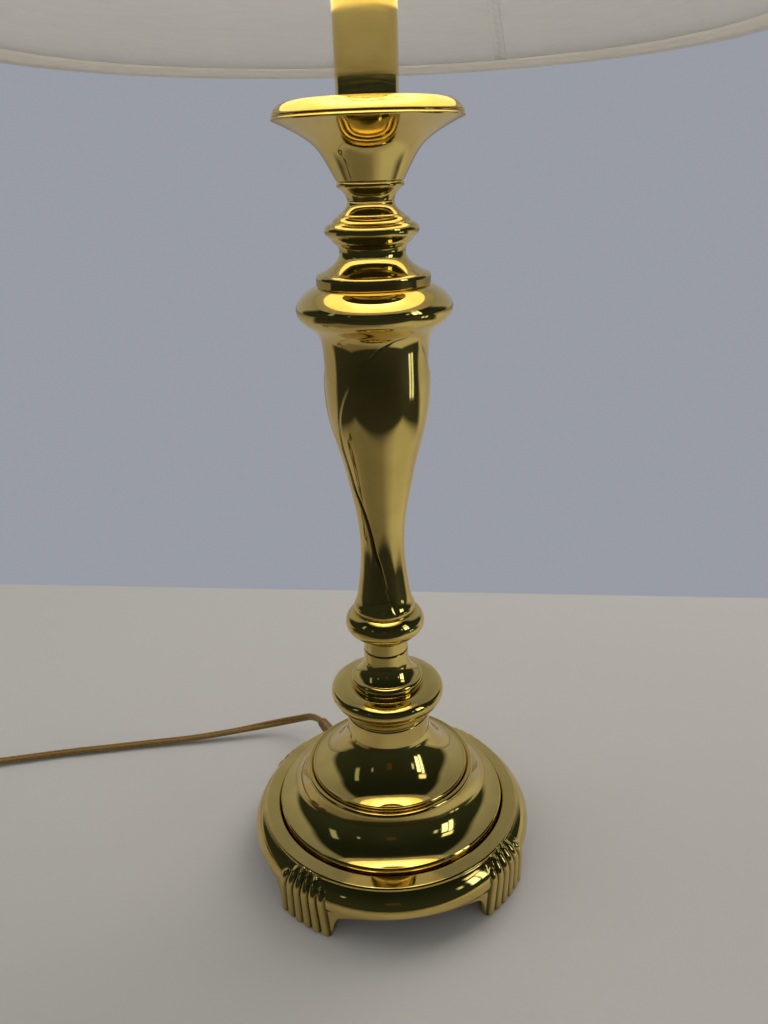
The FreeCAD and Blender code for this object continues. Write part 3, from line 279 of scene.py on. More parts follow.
class Nodes:
    """Shader nodes of one tree, fed with numbers, colours or the outputs of other nodes."""

    def __init__(self, tree):
        self.tree = tree
        self.shader = tree.nodes.get("Principled BSDF")

    def feed(self, socket, value):
        if isinstance(value, bpy.types.NodeSocket):
            self.tree.links.new(value, socket)
        else:
            socket.default_value = (*value, 1) if socket.type == "RGBA" else value

    def add(self, kind, inputs, **settings):
        node = self.tree.nodes.new("ShaderNode" + kind)
        for key, value in settings.items():
            setattr(node, key, value)
        for key, value in inputs.items():
            self.feed(node.inputs[key], value)
        return node

    def shade(self, **sockets):
        """Feed sockets of the surface's own shader."""
        for key, value in sockets.items():
            self.feed(self.shader.inputs[key.replace("_", " ")], value)

    def maths(self, operation, *values):
        return self.add("Math", dict(enumerate(values)), operation=operation).outputs[0]

    def times(self, first, second):
        return self.maths("MULTIPLY", first, second)

    def azimuth(self, x, y):
        """Degrees from the front towards the right."""
        return self.maths("DEGREES", self.maths("ARCTAN2", x, self.times(y, -1)))

    def smooth(self, value, start, end):
        """From 0 to 1 as the value goes from start to end."""
        inputs = {"Value": value, "From Min": start, "From Max": end}
        return self.add("MapRange", inputs, interpolation_type="SMOOTHSTEP").outputs["Result"]

    def band(self, value, start, end, soft):
        """1 between start and end, with soft edges."""
        rise, fall = (self.smooth(value, edge - soft, edge + soft) for edge in (start, end))
        return self.maths("SUBTRACT", rise, fall)

    def mix(self, share, first, second):
        return self.add("Mix", {0: share, 6: first, 7: second}, data_type="RGBA").outputs[2]

    def ramp(self, value, start, dark, end, light):
        node = self.add("ValToRGB", {"Fac": value})
        for element, position, colour in zip(node.color_ramp.elements, (start, end), (dark, light)):
            element.position = position
            element.color = (*colour, 1)
        return node.outputs["Color"]

    def noise(self, scale, detail, stretch=(1, 1, 1), place=None):
        """Noise in the piece's own coordinates, which are metres in the lamp's frame, or in those of place."""
        if place is None:
            place = self.add("TexCoord", {}).outputs["Object"]
        place = self.add("Mapping", {"Vector": place, "Scale": stretch}).outputs["Vector"]
        return self.add("TexNoise", {"Vector": place, "Scale": scale, "Detail": detail}).outputs["Fac"]

    def bump(self, value, distance, strength):
        inputs = {"Height": value, "Distance": distance, "Strength": strength}
        self.shade(Normal=self.add("Bump", inputs).outputs["Normal"])


finishes = {}


def new_material(name, base, roughness, metallic=0.0, **sockets):
    """Start a material among the finishes, and give the nodes of its tree."""
    material = finishes[name] = bpy.data.materials.new(name)
    material.use_nodes = True
    nodes = Nodes(material.node_tree)
    nodes.shade(Base_Color=base, Roughness=roughness, Metallic=metallic, **sockets)
    return nodes


def grey(value):
    return (value, value, value)


def brass(name, base, tarnish, roughness, wear):
    """Lacquered brass: faint cloudy tarnish, fine polishing marks in its gloss and slight waves."""
    nodes = new_material(name, base, roughness, 1.0)
    nodes.shade(Base_Color=nodes.ramp(nodes.noise(35, 6), 0.38, tarnish, 0.62, base))
    marks = nodes.noise(60, 8, (1, 1, 14))
    polished, worn = grey(roughness * (1 - wear)), grey(roughness * (1 + wear))
    nodes.shade(Roughness=nodes.ramp(marks, 0.35, polished, 0.75, worn))
    nodes.bump(nodes.noise(22, 2), 0.00012, 0.35)
    return nodes


def crease_shade_and_residue(nodes, shade_and_residue, rough):
    """Painted shade in the grooves, partly dark polish residue, as strong as the piece's hollow attribute says.
    """
    hollow = nodes.add("Attribute", {}, attribute_name="hollow").outputs["Fac"]
    share = nodes.ramp(hollow, 0, grey(0), 1, grey(0.92))
    for key, value in (("Base Color", shade_and_residue), ("Roughness", grey(rough))):
        socket = nodes.shader.inputs[key]
        nodes.feed(socket, nodes.mix(share, socket.links[0].from_socket, value))


def cloth(name, light, dark, thread, relief, shine):
    """Woven cloth: two crossed sets of threads in the cloth's own coordinates, with uneven slubs."""
    nodes = new_material(name, light, 0.62, Sheen_Weight=shine, Sheen_Roughness=0.4, Specular_IOR_Level=0.35)
    place = nodes.add("UVMap", {}, uv_map="cloth").outputs["UV"]
    wave = {"Vector": place, "Scale": thread, "Distortion": 0.6, "Detail": 2, "Detail Scale": 3}
    threads = [nodes.add("TexWave", wave, bands_direction=way).outputs["Fac"] for way in "XY"]
    slub = nodes.noise(60, 5, (1, 9, 1), place)
    weave = nodes.maths("MULTIPLY_ADD", nodes.times(*threads), 0.5, slub)
    nodes.shade(Base_Color=nodes.ramp(weave, 0.35, dark, 0.95, light))
    nodes.bump(weave, relief, 0.6)


def mottled(name, base, roughness, grain, dark, light, start=0.3, detail=3.0, metallic=0.0, **sockets):
    """Finish that wanders between two tones at the scale of its grain, which is given back."""
    nodes = new_material(name, base, roughness, metallic, **sockets)
    fine = nodes.noise(grain, detail)
    nodes.shade(Base_Color=nodes.ramp(fine, start, dark, 1 - start, light))
    return nodes, fine


# Base colour, tarnish, roughness, wear of the gloss
LAMP_BRASS = (0.76, 0.58, 0.185), (0.67, 0.5, 0.15), 0.07, 0.5
brass("polished_brass", *LAMP_BRASS)
# the cast brass gets painted shade in its grooves, partly dark polish residue
crease_shade_and_residue(brass("cast_brass", *LAMP_BRASS), (0.07, 0.06, 0.028), 0.3)
brass("tube_brass", (0.74, 0.57, 0.19), (0.64, 0.48, 0.15), 0.09, 0.5)
brass("wire_brass", (0.74, 0.58, 0.29), (0.62, 0.47, 0.22), 0.22, 0.4)

# Light and dark thread, waves per metre, relief (m), sheen
cloth("shade_cloth", (0.8, 0.77, 0.72), (0.71, 0.68, 0.63), 300, 0.00012, 0.25)
cloth("lining_cloth", (0.86, 0.88, 0.92), (0.8, 0.82, 0.86), 420, 0.00006, 0.35)
cloth("trim_cloth", (0.88, 0.86, 0.82), (0.78, 0.76, 0.71), 500, 0.00015, 0.3)

# Base colour, roughness, metallic, grain (1/m), relief (m), how much darker the grain's dark tone is
PLAIN = {
    "plated_steel": ((0.62, 0.61, 0.58), 0.28, 1, 300, 3e-5, 0.15),
    "black_iron": ((0.03, 0.03, 0.032), 0.55, 0.3, 500, 3e-4, 0.35),
    "ivory_wire": ((0.72, 0.68, 0.58), 0.4, 0, 260, 4e-5, 0.1),
    "black_plastic": ((0.018, 0.016, 0.015), 0.35, 0, 700, 3e-5, 0.3),
    "tie_plastic": ((0.022, 0.02, 0.019), 0.45, 0, 400, 1e-4, 0.3),
    "brown_plastic": ((0.085, 0.048, 0.022), 0.33, 0, 500, 4e-5, 0.25),
    "fibre_paper": ((0.16, 0.11, 0.07), 0.8, 0, 200, 8e-5, 0.3),
    "thread_white": ((0.86, 0.85, 0.83), 0.5, 0, 2500, 1e-4, 0.12),
    "moulded_body": ((0.035, 0.03, 0.028), 0.4, 0, 300, 4e-5, 0.2),
    "lamp_base_metal": ((0.78, 0.77, 0.75), 0.25, 1, 400, 2e-5, 0.1),
    "lamp_contact_metal": ((0.5, 0.49, 0.46), 0.4, 1, 500, 1e-4, 0.2),
}
for name, (base, roughness, metallic, grain, relief, tone) in PLAIN.items():
    shaded = tuple(c * (1 - tone) for c in base)
    nodes, fine = mottled(name, base, roughness, grain, shaded, base, 0.35, metallic=metallic)
    nodes.bump(fine, relief, 0.5)

mottled("frosted_glass", (0.93, 0.92, 0.88), 0.35, 400, (0.86, 0.85, 0.81), (0.93, 0.92, 0.88),
        Subsurface_Weight=0.3, Subsurface_Radius=grey(0.01), Coat_Weight=0.5, Coat_Roughness=0.15)
mottled("bushing_skin", (0.18, 0.1, 0.02), 0.35, 600, (0.13, 0.07, 0.012), (0.22, 0.125, 0.025),
        Coat_Weight=0.3)
mottled("cord_skin", (0.2, 0.11, 0.013), 0.3, 900, (0.13, 0.068, 0.007), (0.26, 0.145, 0.021), detail=4,
        Subsurface_Weight=0.35, Subsurface_Radius=(0.002, 0.0012, 0.0006), Coat_Weight=0.4, Coat_Roughness=0.12)

# Finish of the solids that stay as the frame gives them
STAYING = {
    "polished_brass": ["tube_cap", "finial"],
    "wire_brass": ["harp", "harp_sleeve_left", "harp_sleeve_right", "harp_stud", "harp_saddle"],
    "plated_steel": ["threaded_rod", "base_washer", "base_nut", "socket_set_screw", "terminal_screw_left",
                     "terminal_screw_right", "switch_shaft"],
    "black_iron": ["base_weight"],
    "ivory_wire": ["shade_bottom_ring", "shade_spider"],
    "tube_brass": ["socket_cap", "socket_shell", "socket_screw_shell", "plug_blade_left", "plug_blade_right"],
    "fibre_paper": ["socket_insulator"],
    "moulded_body": ["socket_body"],
    "lamp_base_metal": ["bulb_base"],
    "lamp_contact_metal": ["bulb_tip", "socket_contact"],
    "frosted_glass": ["bulb_glass"],
    "cord_skin": ["inner_lead"],
    "tie_plastic": ["cord_tie"],
}


def coat(piece, finish):
    piece.data.materials.clear()
    piece.data.materials.append(finishes[finish])


def dress(piece, body, finish, *nodes, slot=None):
    """Finish, body and replaced nodes of a piece; the slot is not used."""
    coat(piece, finish)
    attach(piece, body)
    if nodes:
        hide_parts(*nodes)
    return piece


for finish, names in STAYING.items():
    for name in names:
        coat(bpy.data.objects[name], finish)

# Turned brass: each piece stands on the one before it, with a hollow inside or a plain bore for the rod
BORE = 5.3 * MM
STACK = [
    ("base_body", BODY, "base_dome", BODY_INNER), ("base_dome", DOME, "lower_knop", DOME_INNER),
    ("lower_knop", KNOP_LOW, "column_collar", None), ("column_collar", COLLAR, "column", None),
    ("upper_knop", KNOP_UP, "candle_cup", None), ("candle_cup", CUP, "drip_pan", CUP_INNER),
]
PAN_CLEARANCE = 0.15 * MM
PAN_WELL = 0.16
TUBE_WALL = 1 * MM
TUBE_EDGE = 0.6 * MM


def stacked(node, strokes, above, inner):
    """Turned piece whose height runs to the bottom of the piece above it."""
    radius, bottom, top = radius_of(node), low(node).z, low(above).z
    section = list(outline(strokes, radius, top - bottom, bottom))
    section += scaled(inner, radius, top - bottom, bottom) if inner else [(BORE, top), (BORE, bottom)]
    dress(turned(node + "_turned", section), "lamp", "polished_brass", node)


def drip_pan():
    """Rolled pan whose underside follows its roll, with a hole for the tube."""
    radius, bottom = radius_of("drip_pan"), low("drip_pan").z
    height = high("drip_pan").z - bottom
    hole = radius_of("candle_tube") + PAN_CLEARANCE
    section = list(outline(PAN, radius, height, bottom))
    section += [(hole, bottom + PAN_WELL * height), (hole, bottom)]
    section += list(smooth_points(scaled(PAN_UNDER, radius, height, bottom), PAN_STEP))
    dress(turned("drip_pan_turned", section), "lamp", "polished_brass", "drip_pan")


def candle_tube():
    radius, bottom, top = radius_of("candle_tube"), low("candle_tube").z, high("candle_tube").z
    section = [(radius, bottom), (radius, bottom + 1 * MM), (radius, top - TUBE_EDGE), (radius, top),
               (radius - TUBE_WALL, top), (radius - TUBE_WALL, bottom)]
    dress(turned("candle_tube_turned", section), "lamp", "tube_brass", "candle_tube")


for row in STACK:
    stacked(*row)
drip_pan()
candle_tube()

# The column's swirl of two leaves. Height above the floor (mm) against the crease's azimuth and the leaf's
# width (degrees), the groove's depth and the step beside it (mm)
SWIRL = np.array([
    (183.3, 23, 180, 0, 0), (188.3, 20, 180, 0.35, 0), (202.3, 7, 180, 0.7, 0), (215.7, -7, 180, 0.9, 0),
    (225.6, -22, 180, 1, 0), (235, -29, 180, 1.1, 0), (251, -41, 180, 1.15, 0), (266.8, -55, 180, 1.15, 0),
    (280, -58, 180, 1.1, 0), (290, -58, 178, 1, 0.15), (297, -56, 164, 0.9, 0.4), (302, -54, 154, 0.8, 0.6),
    (314, -47, 142, 0.6, 0.9), (322, -40, 130, 0.5, 1), (331, -30, 115, 0.4, 1), (337, -23, 93, 0.35, 1),
    (343.6, -12, 76, 0.3, 0.9), (348.9, 0, 55, 0.2, 0.8), (353.7, 14, 35, 0.1, 0.55), (356.5, 32, 14, 0, 0.25),
    (358.5, 46, 0, 0, 0), (379.2, 50, 0, 0, 0),
])
# Distances (mm) whose mean eases the table's values, and its share
SWIRL_EASING, EASED_SHARE = (-3, -1.5, 1.5, 3), 0.6
GROOVE_WIDTH = 1.5 * MM
STEP_WIDTH = 1 * MM
EDGE_WIDTH = 3 * MM
CREASE_DEPTH = 1.1 * MM
# A leaf this wide (degrees) has no step beside it
FULL_LEAF = 176
CREASE_ANGLES = np.array([0, 0.3, 0.7, 1.2, 1.8, 2.6, 3.6, 4.8, 6.2, 8])


def mark_hollow(piece, shares):
    """Give each point of a piece its share of the dark in the cast brass's grooves: painted shade, partly
    polish residue.
    """
    attribute = piece.data.attributes.new("hollow", "FLOAT", "POINT")
    attribute.data.foreach_set("value", shares.ravel())


def swirl_at(height, column):
    """Smoothly varying value of the swirl's table at a height."""
    knots, values = SWIRL[:, 0], SWIRL[:, column]
    line = np.interp(height / MM, knots, values)
    soft = sum(np.interp(height / MM + shift, knots, values) for shift in SWIRL_EASING) / len(SWIRL_EASING)
    return (1 - EASED_SHARE) * line + EASED_SHARE * soft


def column_piece():
    """Column of two convex leaves, with a groove and a raised edge along the creases that wind round it."""
    bottom, top = low("column").z, high("column").z
    section = outline(COLUMN, radius_of("column"), top - bottom, bottom, COLUMN_STEP)
    half = np.concatenate([CREASE_ANGLES, np.arange(10, 171, 2.0), 180 - CREASE_ANGLES[:0:-1]])
    offsets = np.concatenate([half, half + 180])
    r, z = section[:, :1], section[:, 1:]
    crease, width, depth, step = (swirl_at(z, k) for k in (1, 2, 3, 4))
    along = np.mod(offsets, 180)[None, :]
    back = np.radians(180 - along) * r
    nearest = np.minimum(np.radians(along) * r, back)
    share = np.clip(depth, 0, 1)
    convex = CREASE_DEPTH * share * (1 - np.sin(np.radians(along)))
    groove = depth * MM * np.clip(1 - nearest / GROOVE_WIDTH, 0, 1)
    plain = np.clip(np.radians(along - width) * r / EDGE_WIDTH + 0.5, 0, 1)
    plain = np.where(width > FULL_LEAF, 0, eased(plain) * np.clip(back / STEP_WIDTH, 0, 1))
    azimuth = crease + offsets[None, :]
    rows = [round_axis(r - convex - groove - step * MM * plain, azimuth, z)]
    rows += [round_axis(BORE, azimuth[-1:], top), round_axis(BORE, azimuth[:1], bottom)]
    piece = grid_object("column_swirled", np.concatenate(rows), True)
    # painted shade along the creases, partly polish residue
    shade_and_residue = share * np.clip(1.2 - nearest / (0.85 * GROOVE_WIDTH), 0, 1)
    mark_hollow(piece, np.vstack([shade_and_residue, np.zeros((2, len(offsets)))]))
    dress(piece, "lamp", "cast_brass", "column")


column_piece()

# The base casting and its four reeded feet
FOOT_AZIMUTH = -38.5
REEDS = 6
REED_POINTS = 16
# Height share against the angle of one reed (degrees) and the depth of the grooves (mm)
REED_LEVELS = np.array([(0, 4.3, 3.4), (0.3, 4.1, 3.6), (0.55, 3.9, 3.6), (0.74, 3.7, 3.5), (0.86, 3.5, 3.3),
                        (0.95, 3.3, 3)])
REED_TOP, REED_TOP_DROP = 0.965, 0.2
REED_BULGE, REED_ONSET, REED_TIP = 1.8 * MM, 3 * MM, 4.6 * MM
REED_ROUNDNESS = 0.97
ARCH_SIDE, ARCH_RISE = 15 * MM, 7.4 * MM
# Degrees over which an arch rises beside its foot
ARCH_CORNER = 5.6
# Where the points of half an arch stand between its foot (0) and its middle (1)
ARCH_POINTS = np.array([0.004, 0.012, 0.022, 0.034, 0.048, 0.064, 0.082, 0.1, 0.14, 0.2, 0.28, 0.38, 0.5, 0.62,
                        0.75, 0.88])
SKIRT_LOW_SHARE, SHOULDER_SHARE = 0.983, 0.922
SKIRT_ROWS = 79
LOWER_EDGE = 0.8 * MM
SEAT_WIDTH, SEAT_THICKNESS, WALL = 13 * MM, 4 * MM, 5 * MM
# The inside, in shares of the radius and of the height
SEAT_OUTER_SHARE, WALL_SHARE, WALL_TOP_SHARE = 0.85, 0.974, 0.6
UNDER_SEAT = ((0.899, 0.79), (0.918, 0.66))


def casting_piece():
    """Casting from columns of points, which stand closest in the reeds and at the corners of the arches."""
    radius, height = radius_of("base_casting"), high("base_casting").z
    upper = outline(CASTING, radius, height, step=CASTING_STEP)
    fine, foot_line = (outline(strokes, radius, height, step=FINE_STEP) for strokes in (CASTING, FOOT))
    half = REEDS / 2
    columns = []
    for foot in range(4):
        centre = FOOT_AZIMUTH + 90 * foot
        columns += [(centre, 0, value, 0) for value in np.linspace(-half, half, REEDS * REED_POINTS + 1)]
        columns += [(centre, 1, 0, value) for value in (*ARCH_POINTS, 1)]
        columns += [(centre + 90, -1, 0, value) for value in ARCH_POINTS[::-1]]
    centres, sides, reeds, spans = (np.array(values, float) for values in zip(*columns))
    on_foot, everywhere = sides == 0, np.ones(len(sides))
    corner = np.clip(spans * (45 - half * REED_LEVELS[0, 1]) / ARCH_CORNER, 0, 1)
    arch = ARCH_SIDE + ARCH_RISE * (1 - (1 - spans) ** 2)
    foot_bottom = np.where(on_foot, 0, arch * (1 - (1 - corner) ** 2.3))
    middle = np.clip(np.floor(reeds), -half, half - 1) + 0.5
    across = np.clip(np.abs(reeds - middle) * 2, 0, 1)
    round_off = np.sqrt(1 - (REED_ROUNDNESS * across) ** 2)
    reed_top = height * (REED_TOP - REED_TOP_DROP * (np.abs(middle) / half) ** 2.4) - REED_TIP * (1 - round_off)

    def azimuth_at(z):
        edge = half * np.interp(z / height, REED_LEVELS[:, 0], REED_LEVELS[:, 1])
        return centres + np.where(on_foot, reeds / half * edge, sides * (edge + spans * (45 - edge)))

    def below_tip(z):
        return np.clip((reed_top - z) / REED_ONSET, 0, 1)

    def reeded(z, skirt):
        depth = np.interp(z / height, REED_LEVELS[:, 0], REED_LEVELS[:, 2]) * MM
        raised = np.sqrt(1 - (1 - below_tip(z)) ** 2) * (REED_BULGE - depth * (1 - round_off))
        return skirt + np.where(on_foot, raised, 0)

    def skirt_at(z):
        skirt = np.interp(z, np.append(0, fine[:, 1]), np.append(radius * SKIRT_LOW_SHARE, fine[:, 0]))
        return np.where(on_foot, np.interp(z, foot_line[:, 1], foot_line[:, 0]), skirt)

    rows = []
    for rise, inset in ((0, -1), (0.09, -0.6), (0.35, -0.2), (1, 0)):
        z = foot_bottom + rise * LOWER_EDGE
        rows.append((reeded(z, skirt_at(z)) + inset * LOWER_EDGE, z))
    shoulder = SHOULDER_SHARE * height
    for part in np.linspace(0, 1, SKIRT_ROWS + 1)[1:]:
        z = foot_bottom + LOWER_EDGE + (shoulder - foot_bottom - LOWER_EDGE) * part
        rows.append((reeded(z, skirt_at(z)), z))
    for r, level in upper[upper[:, 1] > shoulder + 0.05 * MM]:
        rows.append((reeded(level * everywhere, r * everywhere), level * everywhere))
    outside = len(rows)
    seat_inner, seat_low = radius_of("base_body") - SEAT_WIDTH, upper[-1, 1] - SEAT_THICKNESS
    wall_inner = radius * WALL_SHARE - WALL
    inside = [(seat_inner, upper[-1, 1]), (seat_inner, seat_low), (radius * SEAT_OUTER_SHARE, seat_low)]
    inside += [(radius * share, height * level) for share, level in UNDER_SEAT]
    inside += [(wall_inner, WALL_TOP_SHARE * height), (wall_inner, foot_bottom)]
    rows += [(r * everywhere, level * everywhere) for r, level in inside]
    piece = grid_object("base_casting_reeded", [round_axis(out, azimuth_at(z), z) for out, z in rows], True)
    # painted shade in the grooves between the reeds, below their tips, partly polish residue
    groove = np.where(on_foot, np.clip((across - 0.42) / 0.5, 0, 1) ** 1.3, 0)
    shade_and_residue = [below_tip(z) * groove * (index < outside) for index, (_, z) in enumerate(rows)]
    mark_hollow(piece, np.array(shade_and_residue))
    dress(piece, "lamp", "cast_brass", "base_casting")


casting_piece()

# The cord, its coil, bushing and plug
CORD_WIDTH, CORD_THICKNESS = 6 * MM, 3.4 * MM
CORD_AZIMUTH, CORD_HOLE_HEIGHT = -152, 25 * MM
CASTING_RADIUS, BUSHING_LENGTH = 93.4 * MM, 20 * MM
# Control points of the route from the bushing to the coil, in millimetres
CORD_POINTS = [
    (-60, 113, 22), (-74, 121, 14), (-97, 122, 9), (-128, 117.5, 6), (-162, 113, 3.8), (-196, 110, 3.1),
    (-230, 105.5, 3.1), (-264, 101.5, 3.1), (-298, 95.5, 3.2), (-333, 89.5, 3.6),
]
# The coil, in millimetres and turns, and the control points of each turn
COIL_CENTRE = (-376, 40.5)
COIL_RADIUS, COIL_PITCH, COIL_TURNS, COIL_RISE = 45.5, 6.6, 6.25, 0.5
COIL_FLOOR, COIL_LEAD = 4.15, 8
TURN_POINTS = 16
TAIL_POINTS = [(24, 0), (44, 1.3), (62, 1.7)]
# Start and length of the two stretches in which the cord turns flat after its exit and on edge for the coil
EXIT_TURN, COIL_TURN = (20 * MM, 70 * MM), (300 * MM, 60 * MM)
# Thickness of the web between the conductors, and how steep a ray from the middle is that meets it
WAIST_SHARE, WAIST_SLOPE = 0.72, 0.55


def behind(distance):
    """Place at a distance from the axis on the level line through the cord's hole."""
    return Vector(round_axis(distance, CORD_AZIMUTH, CORD_HOLE_HEIGHT))


def coil_place(turns):
    """Place on the coil after a number of turns: in on the lower layer, out on the upper one."""
    half = (COIL_TURNS - COIL_RISE) / 2
    inner = COIL_RADIUS - COIL_PITCH * half
    if turns <= half:
        radius, rise = COIL_RADIUS - COIL_PITCH * turns, 0
    elif turns >= half + COIL_RISE:
        radius, rise = inner + COIL_PITCH * (turns - half - COIL_RISE), 1
    else:
        part = (turns - half) / COIL_RISE
        radius, rise = inner - COIL_PITCH * COIL_RISE * part * (1 - part), eased(part)
    angle = math.radians(90 + 360 * turns)
    return Vector((COIL_CENTRE[0] + radius * math.cos(angle), COIL_CENTRE[1] + radius * math.sin(angle),
                   COIL_FLOOR + COIL_PITCH * rise))


def coil_heading(turns):
    return (coil_place(turns + 1 / 4096) - coil_place(turns - 1 / 4096)).normalized()


def flat_cord_section(sides=44):
    """Outline of two joined conductors side by side, with a groove between them."""
    half, centre = CORD_THICKNESS / 2, (CORD_WIDTH - CORD_THICKNESS) / 2
    found = []
    for angle in circle(sides):
        across, up = math.cos(angle), math.sin(angle)
        inside = half**2 - (up * centre) ** 2
        reach = abs(across) * centre + math.sqrt(inside) if inside > 0 else 0
        if abs(up) > WAIST_SLOPE:
            reach = max(reach, WAIST_SHARE * half / abs(up))
        found.append((across * reach, up * reach))
    return np.array(found)


bushing_tip = behind(CASTING_RADIUS + BUSHING_LENGTH)
control = [bushing_tip / MM] + [Vector(place) for place in CORD_POINTS]
control.append(coil_place(0) - coil_heading(0) * COIL_LEAD)
# the spline cuts inside its control points, so they stand out by that much
stand_out = 1 / math.cos(math.pi / TURN_POINTS) ** 0.5
for index in range(int(COIL_TURNS * TURN_POINTS) + 1):
    place = coil_place(index / TURN_POINTS)
    middle = Vector((*COIL_CENTRE, place.z))
    control.append(middle + (place - middle) * stand_out)
tail_heading = (coil_heading(COIL_TURNS) * Vector((1, 1, 0))).normalized()
tail = [coil_place(COIL_TURNS) + tail_heading * along - Vector((0, 0, drop)) for along, drop in TAIL_POINTS]
cord_line = route_points([tuple(place * MM) for place in control + tail])
travelled = np.concatenate([[0], np.cumsum(np.linalg.norm(np.diff(cord_line, axis=0), axis=1))])
near_exit, near_coil = (np.clip((travelled - start) / length, 0, 1) for start, length in (EXIT_TURN, COIL_TURN))
on_edge = eased(np.maximum(1 - near_exit, near_coil))
cord = tube("cord_flat", cord_line, flat_cord_section(), on_edge * math.pi / 2)
dress(cord, "lamp", "cord_skin", "cord_lead", "cord_coil", slot="cord_plastic")


def ribbed_bushing():
    """Flange against the skirt and a tapered sleeve with rings cut into it."""
    upward = Vector((0, 0, 1))
    across = (behind(1) - behind(0)).cross(upward)
    # length along the cord and radius, in millimetres
    profile = [(-9, 4.7), (0.2, 4.7), (0.2, 6.2), (0.4, 6.6), (1.3, 6.6), (1.6, 6.3), (1.7, 5.1), (2.6, 4.8)]
    for rib in range(5):
        start, taper = 3.6 + rib * 3.1, 4.75 - 0.16 * rib
        profile += [(start, taper), (start + 0.25, taper - 0.55), (start + 1.05, taper - 0.6),
                    (start + 1.3, taper - 0.1), (start + 2.8, taper - 0.14)]
    profile += [(19.4, 3.95), (19.9, 3.7), (20, 3.4)]
    rings = []
    for along, out in profile:
        middle = behind(CASTING_RADIUS + along * MM)
        rings.append([middle + out * MM * (math.cos(a) * across + math.sin(a) * upward) for a in circle(48)])
    dress(grid_object("cord_bushing_ribbed", rings), "lamp", "bushing_skin", "cord_bushing")


def moulded_plug():
    """Plug with a ribbed sleeve, a waisted grip and rounded edges."""
    across, upward = Vector((-tail_heading.y, tail_heading.x, 0)), Vector((0, 0, 1))
    # length along the plug, half width and half height in millimetres, and squareness of the section
    stations = [(0, 3.3, 3.3, 2), (0.3, 3.8, 3.8, 2)]
    for rib in range(5):
        at, out = 1.6 + rib * 3.6, 4 + rib * 0.27
        stations += [(at + along, out + more, out + more, 2)
                     for along, more in ((0, 0), (0.3, -0.6), (1.5, -0.5), (1.8, 0.15), (3.2, 0.2))]
    stations += [(20.2, 5.4, 5.4, 2.1), (21.9, 5.5, 5.5, 2.2), (22, 6.8, 6.2, 2.6), (22.4, 8.4, 7.6, 3.2),
                 (23.4, 9.2, 8.5, 4)]
    # the body widens to 13 mm and has a grip from 27 to 42 mm, with ridges 2.5 mm apart
    for along in np.linspace(25, 50.2, 30):
        half = 13 * (0.72 + 0.28 * min((along - 22) / 30 / 0.45, 1)) - 0.35
        grip = 0.45 * max(0, math.sin((along - 27) / 15 * math.pi)) if 27 < along < 42 else 0
        ridge = 0.3 * math.cos((along - 27) / 2.5 * 2 * math.pi) if 28 < along < 41 else 0
        stations.append((along, half - grip + ridge * 0.5, 8.75 - grip * 0.6, 5.5))
    stations += [(51.3, 12.5, 8.6, 5.5), (51.8, 12, 8.1, 5), (52, 11.2, 7.4, 4.6)]
    rings = []
    for along, half, tall, power in stations:
        middle = tail[-1] * MM + tail_heading * (along * MM)
        ring = []
        for angle in circle(72):
            c, v = math.cos(angle), math.sin(angle)
            reach = (abs(c) ** power + abs(v) ** power) ** (-1 / power) * MM
            ring.append(middle + across * (half * c * reach) + upward * (tall * v * reach))
        rings.append(ring)
    return dress(grid_object("plug_moulded", rings), "lamp", "brown_plastic", "plug_body")


FLUTES, FLUTE_DEPTH = 12, 0.07


def fluted_knob():
    """Switch knob with flutes round its rim, turning on the level shaft."""
    corner, length = high("switch_knob"), high("switch_knob").y - low("switch_knob").y
    centre = (low("switch_knob") + corner) / 2
    # share of the length from the back, share of the radius, share of the flutes' depth
    profile = [(0, 0.62, 0), (0.02, 0.8, 0), (0.07, 0.92, 0.5), (0.14, 0.97, 1), (0.3, 1, 1), (0.5, 1, 1),
               (0.7, 0.99, 1), (0.84, 0.96, 1), (0.92, 0.9, 0.6), (0.97, 0.8, 0.1), (0.99, 0.66, 0),
               (0.985, 0.4, 0), (0.98, 0.2, 0)]
    angles = circle(144)
    rings = []
    for along, share, flute in profile:
        cut = FLUTE_DEPTH * flute * np.maximum(0, np.cos(FLUTES * angles)) ** 2
        reach = radius_of("switch_knob") * (share - cut)
        rings.append([(centre.x + r * math.cos(a), corner.y - length * along, centre.z + r * math.sin(a))
                      for r, a in zip(reach, angles)])
    dress(grid_object("switch_knob_fluted", rings), "switch", "black_plastic", "switch_knob")


ribbed_bushing()
plug = moulded_plug()
fluted_knob()

# The shade
shade_low, shade_high = low("shade_fabric").z, high("shade_fabric").z
shade_radius = radius_of("shade_fabric")
TOP_RADIUS = 63.5 * MM
CLOTH = 0.6 * MM
SHADE_SEGMENTS = 240
SEAM_AZIMUTH = 152.5
SEAM_HALF_WIDTH, SEAM_RISE, SEAM_STEP = 4 * MM, 0.35 * MM, 1.1 * MM
STITCH_SWING, STITCH_STEP, STITCH_LIFT, THREAD_RADIUS = 1.3 * MM, 1.9 * MM, 0.12 * MM, 0.32 * MM
TAPE_WIDTH, TAPE_THICKNESS, TAPE_DEPTH = 5 * MM, 0.5 * MM, 3.6 * MM
# The fold and the stitches in shares of the tape's width, and its relief
TAPE_FOLD, STITCH_AT, STITCH_SPREAD = 0.12, 0.72, 0.06
TAPE_SWELL, STITCH_RIDGE = 0.12 * MM, 0.1 * MM
cone_slope = (shade_radius - TOP_RADIUS) / (shade_high - shade_low)
lean = math.hypot(1, cone_slope)


def cone_radius(z, inset=0.0):
    return shade_radius - (z - shade_low) * cone_slope - inset * lean


def read(items, key, size, kind):
    """Array of one property of a mesh's items."""
    found = np.empty(len(items) * size, kind)
    items.foreach_get(key, found)
    return found


def cloth_map(piece, u, v):
    """Map of the cloth materials, in metres, with a place for each corner of the piece's faces."""
    piece.data.uv_layers.new(name="cloth").data.foreach_set("uv", np.stack([u, v], 1).ravel())


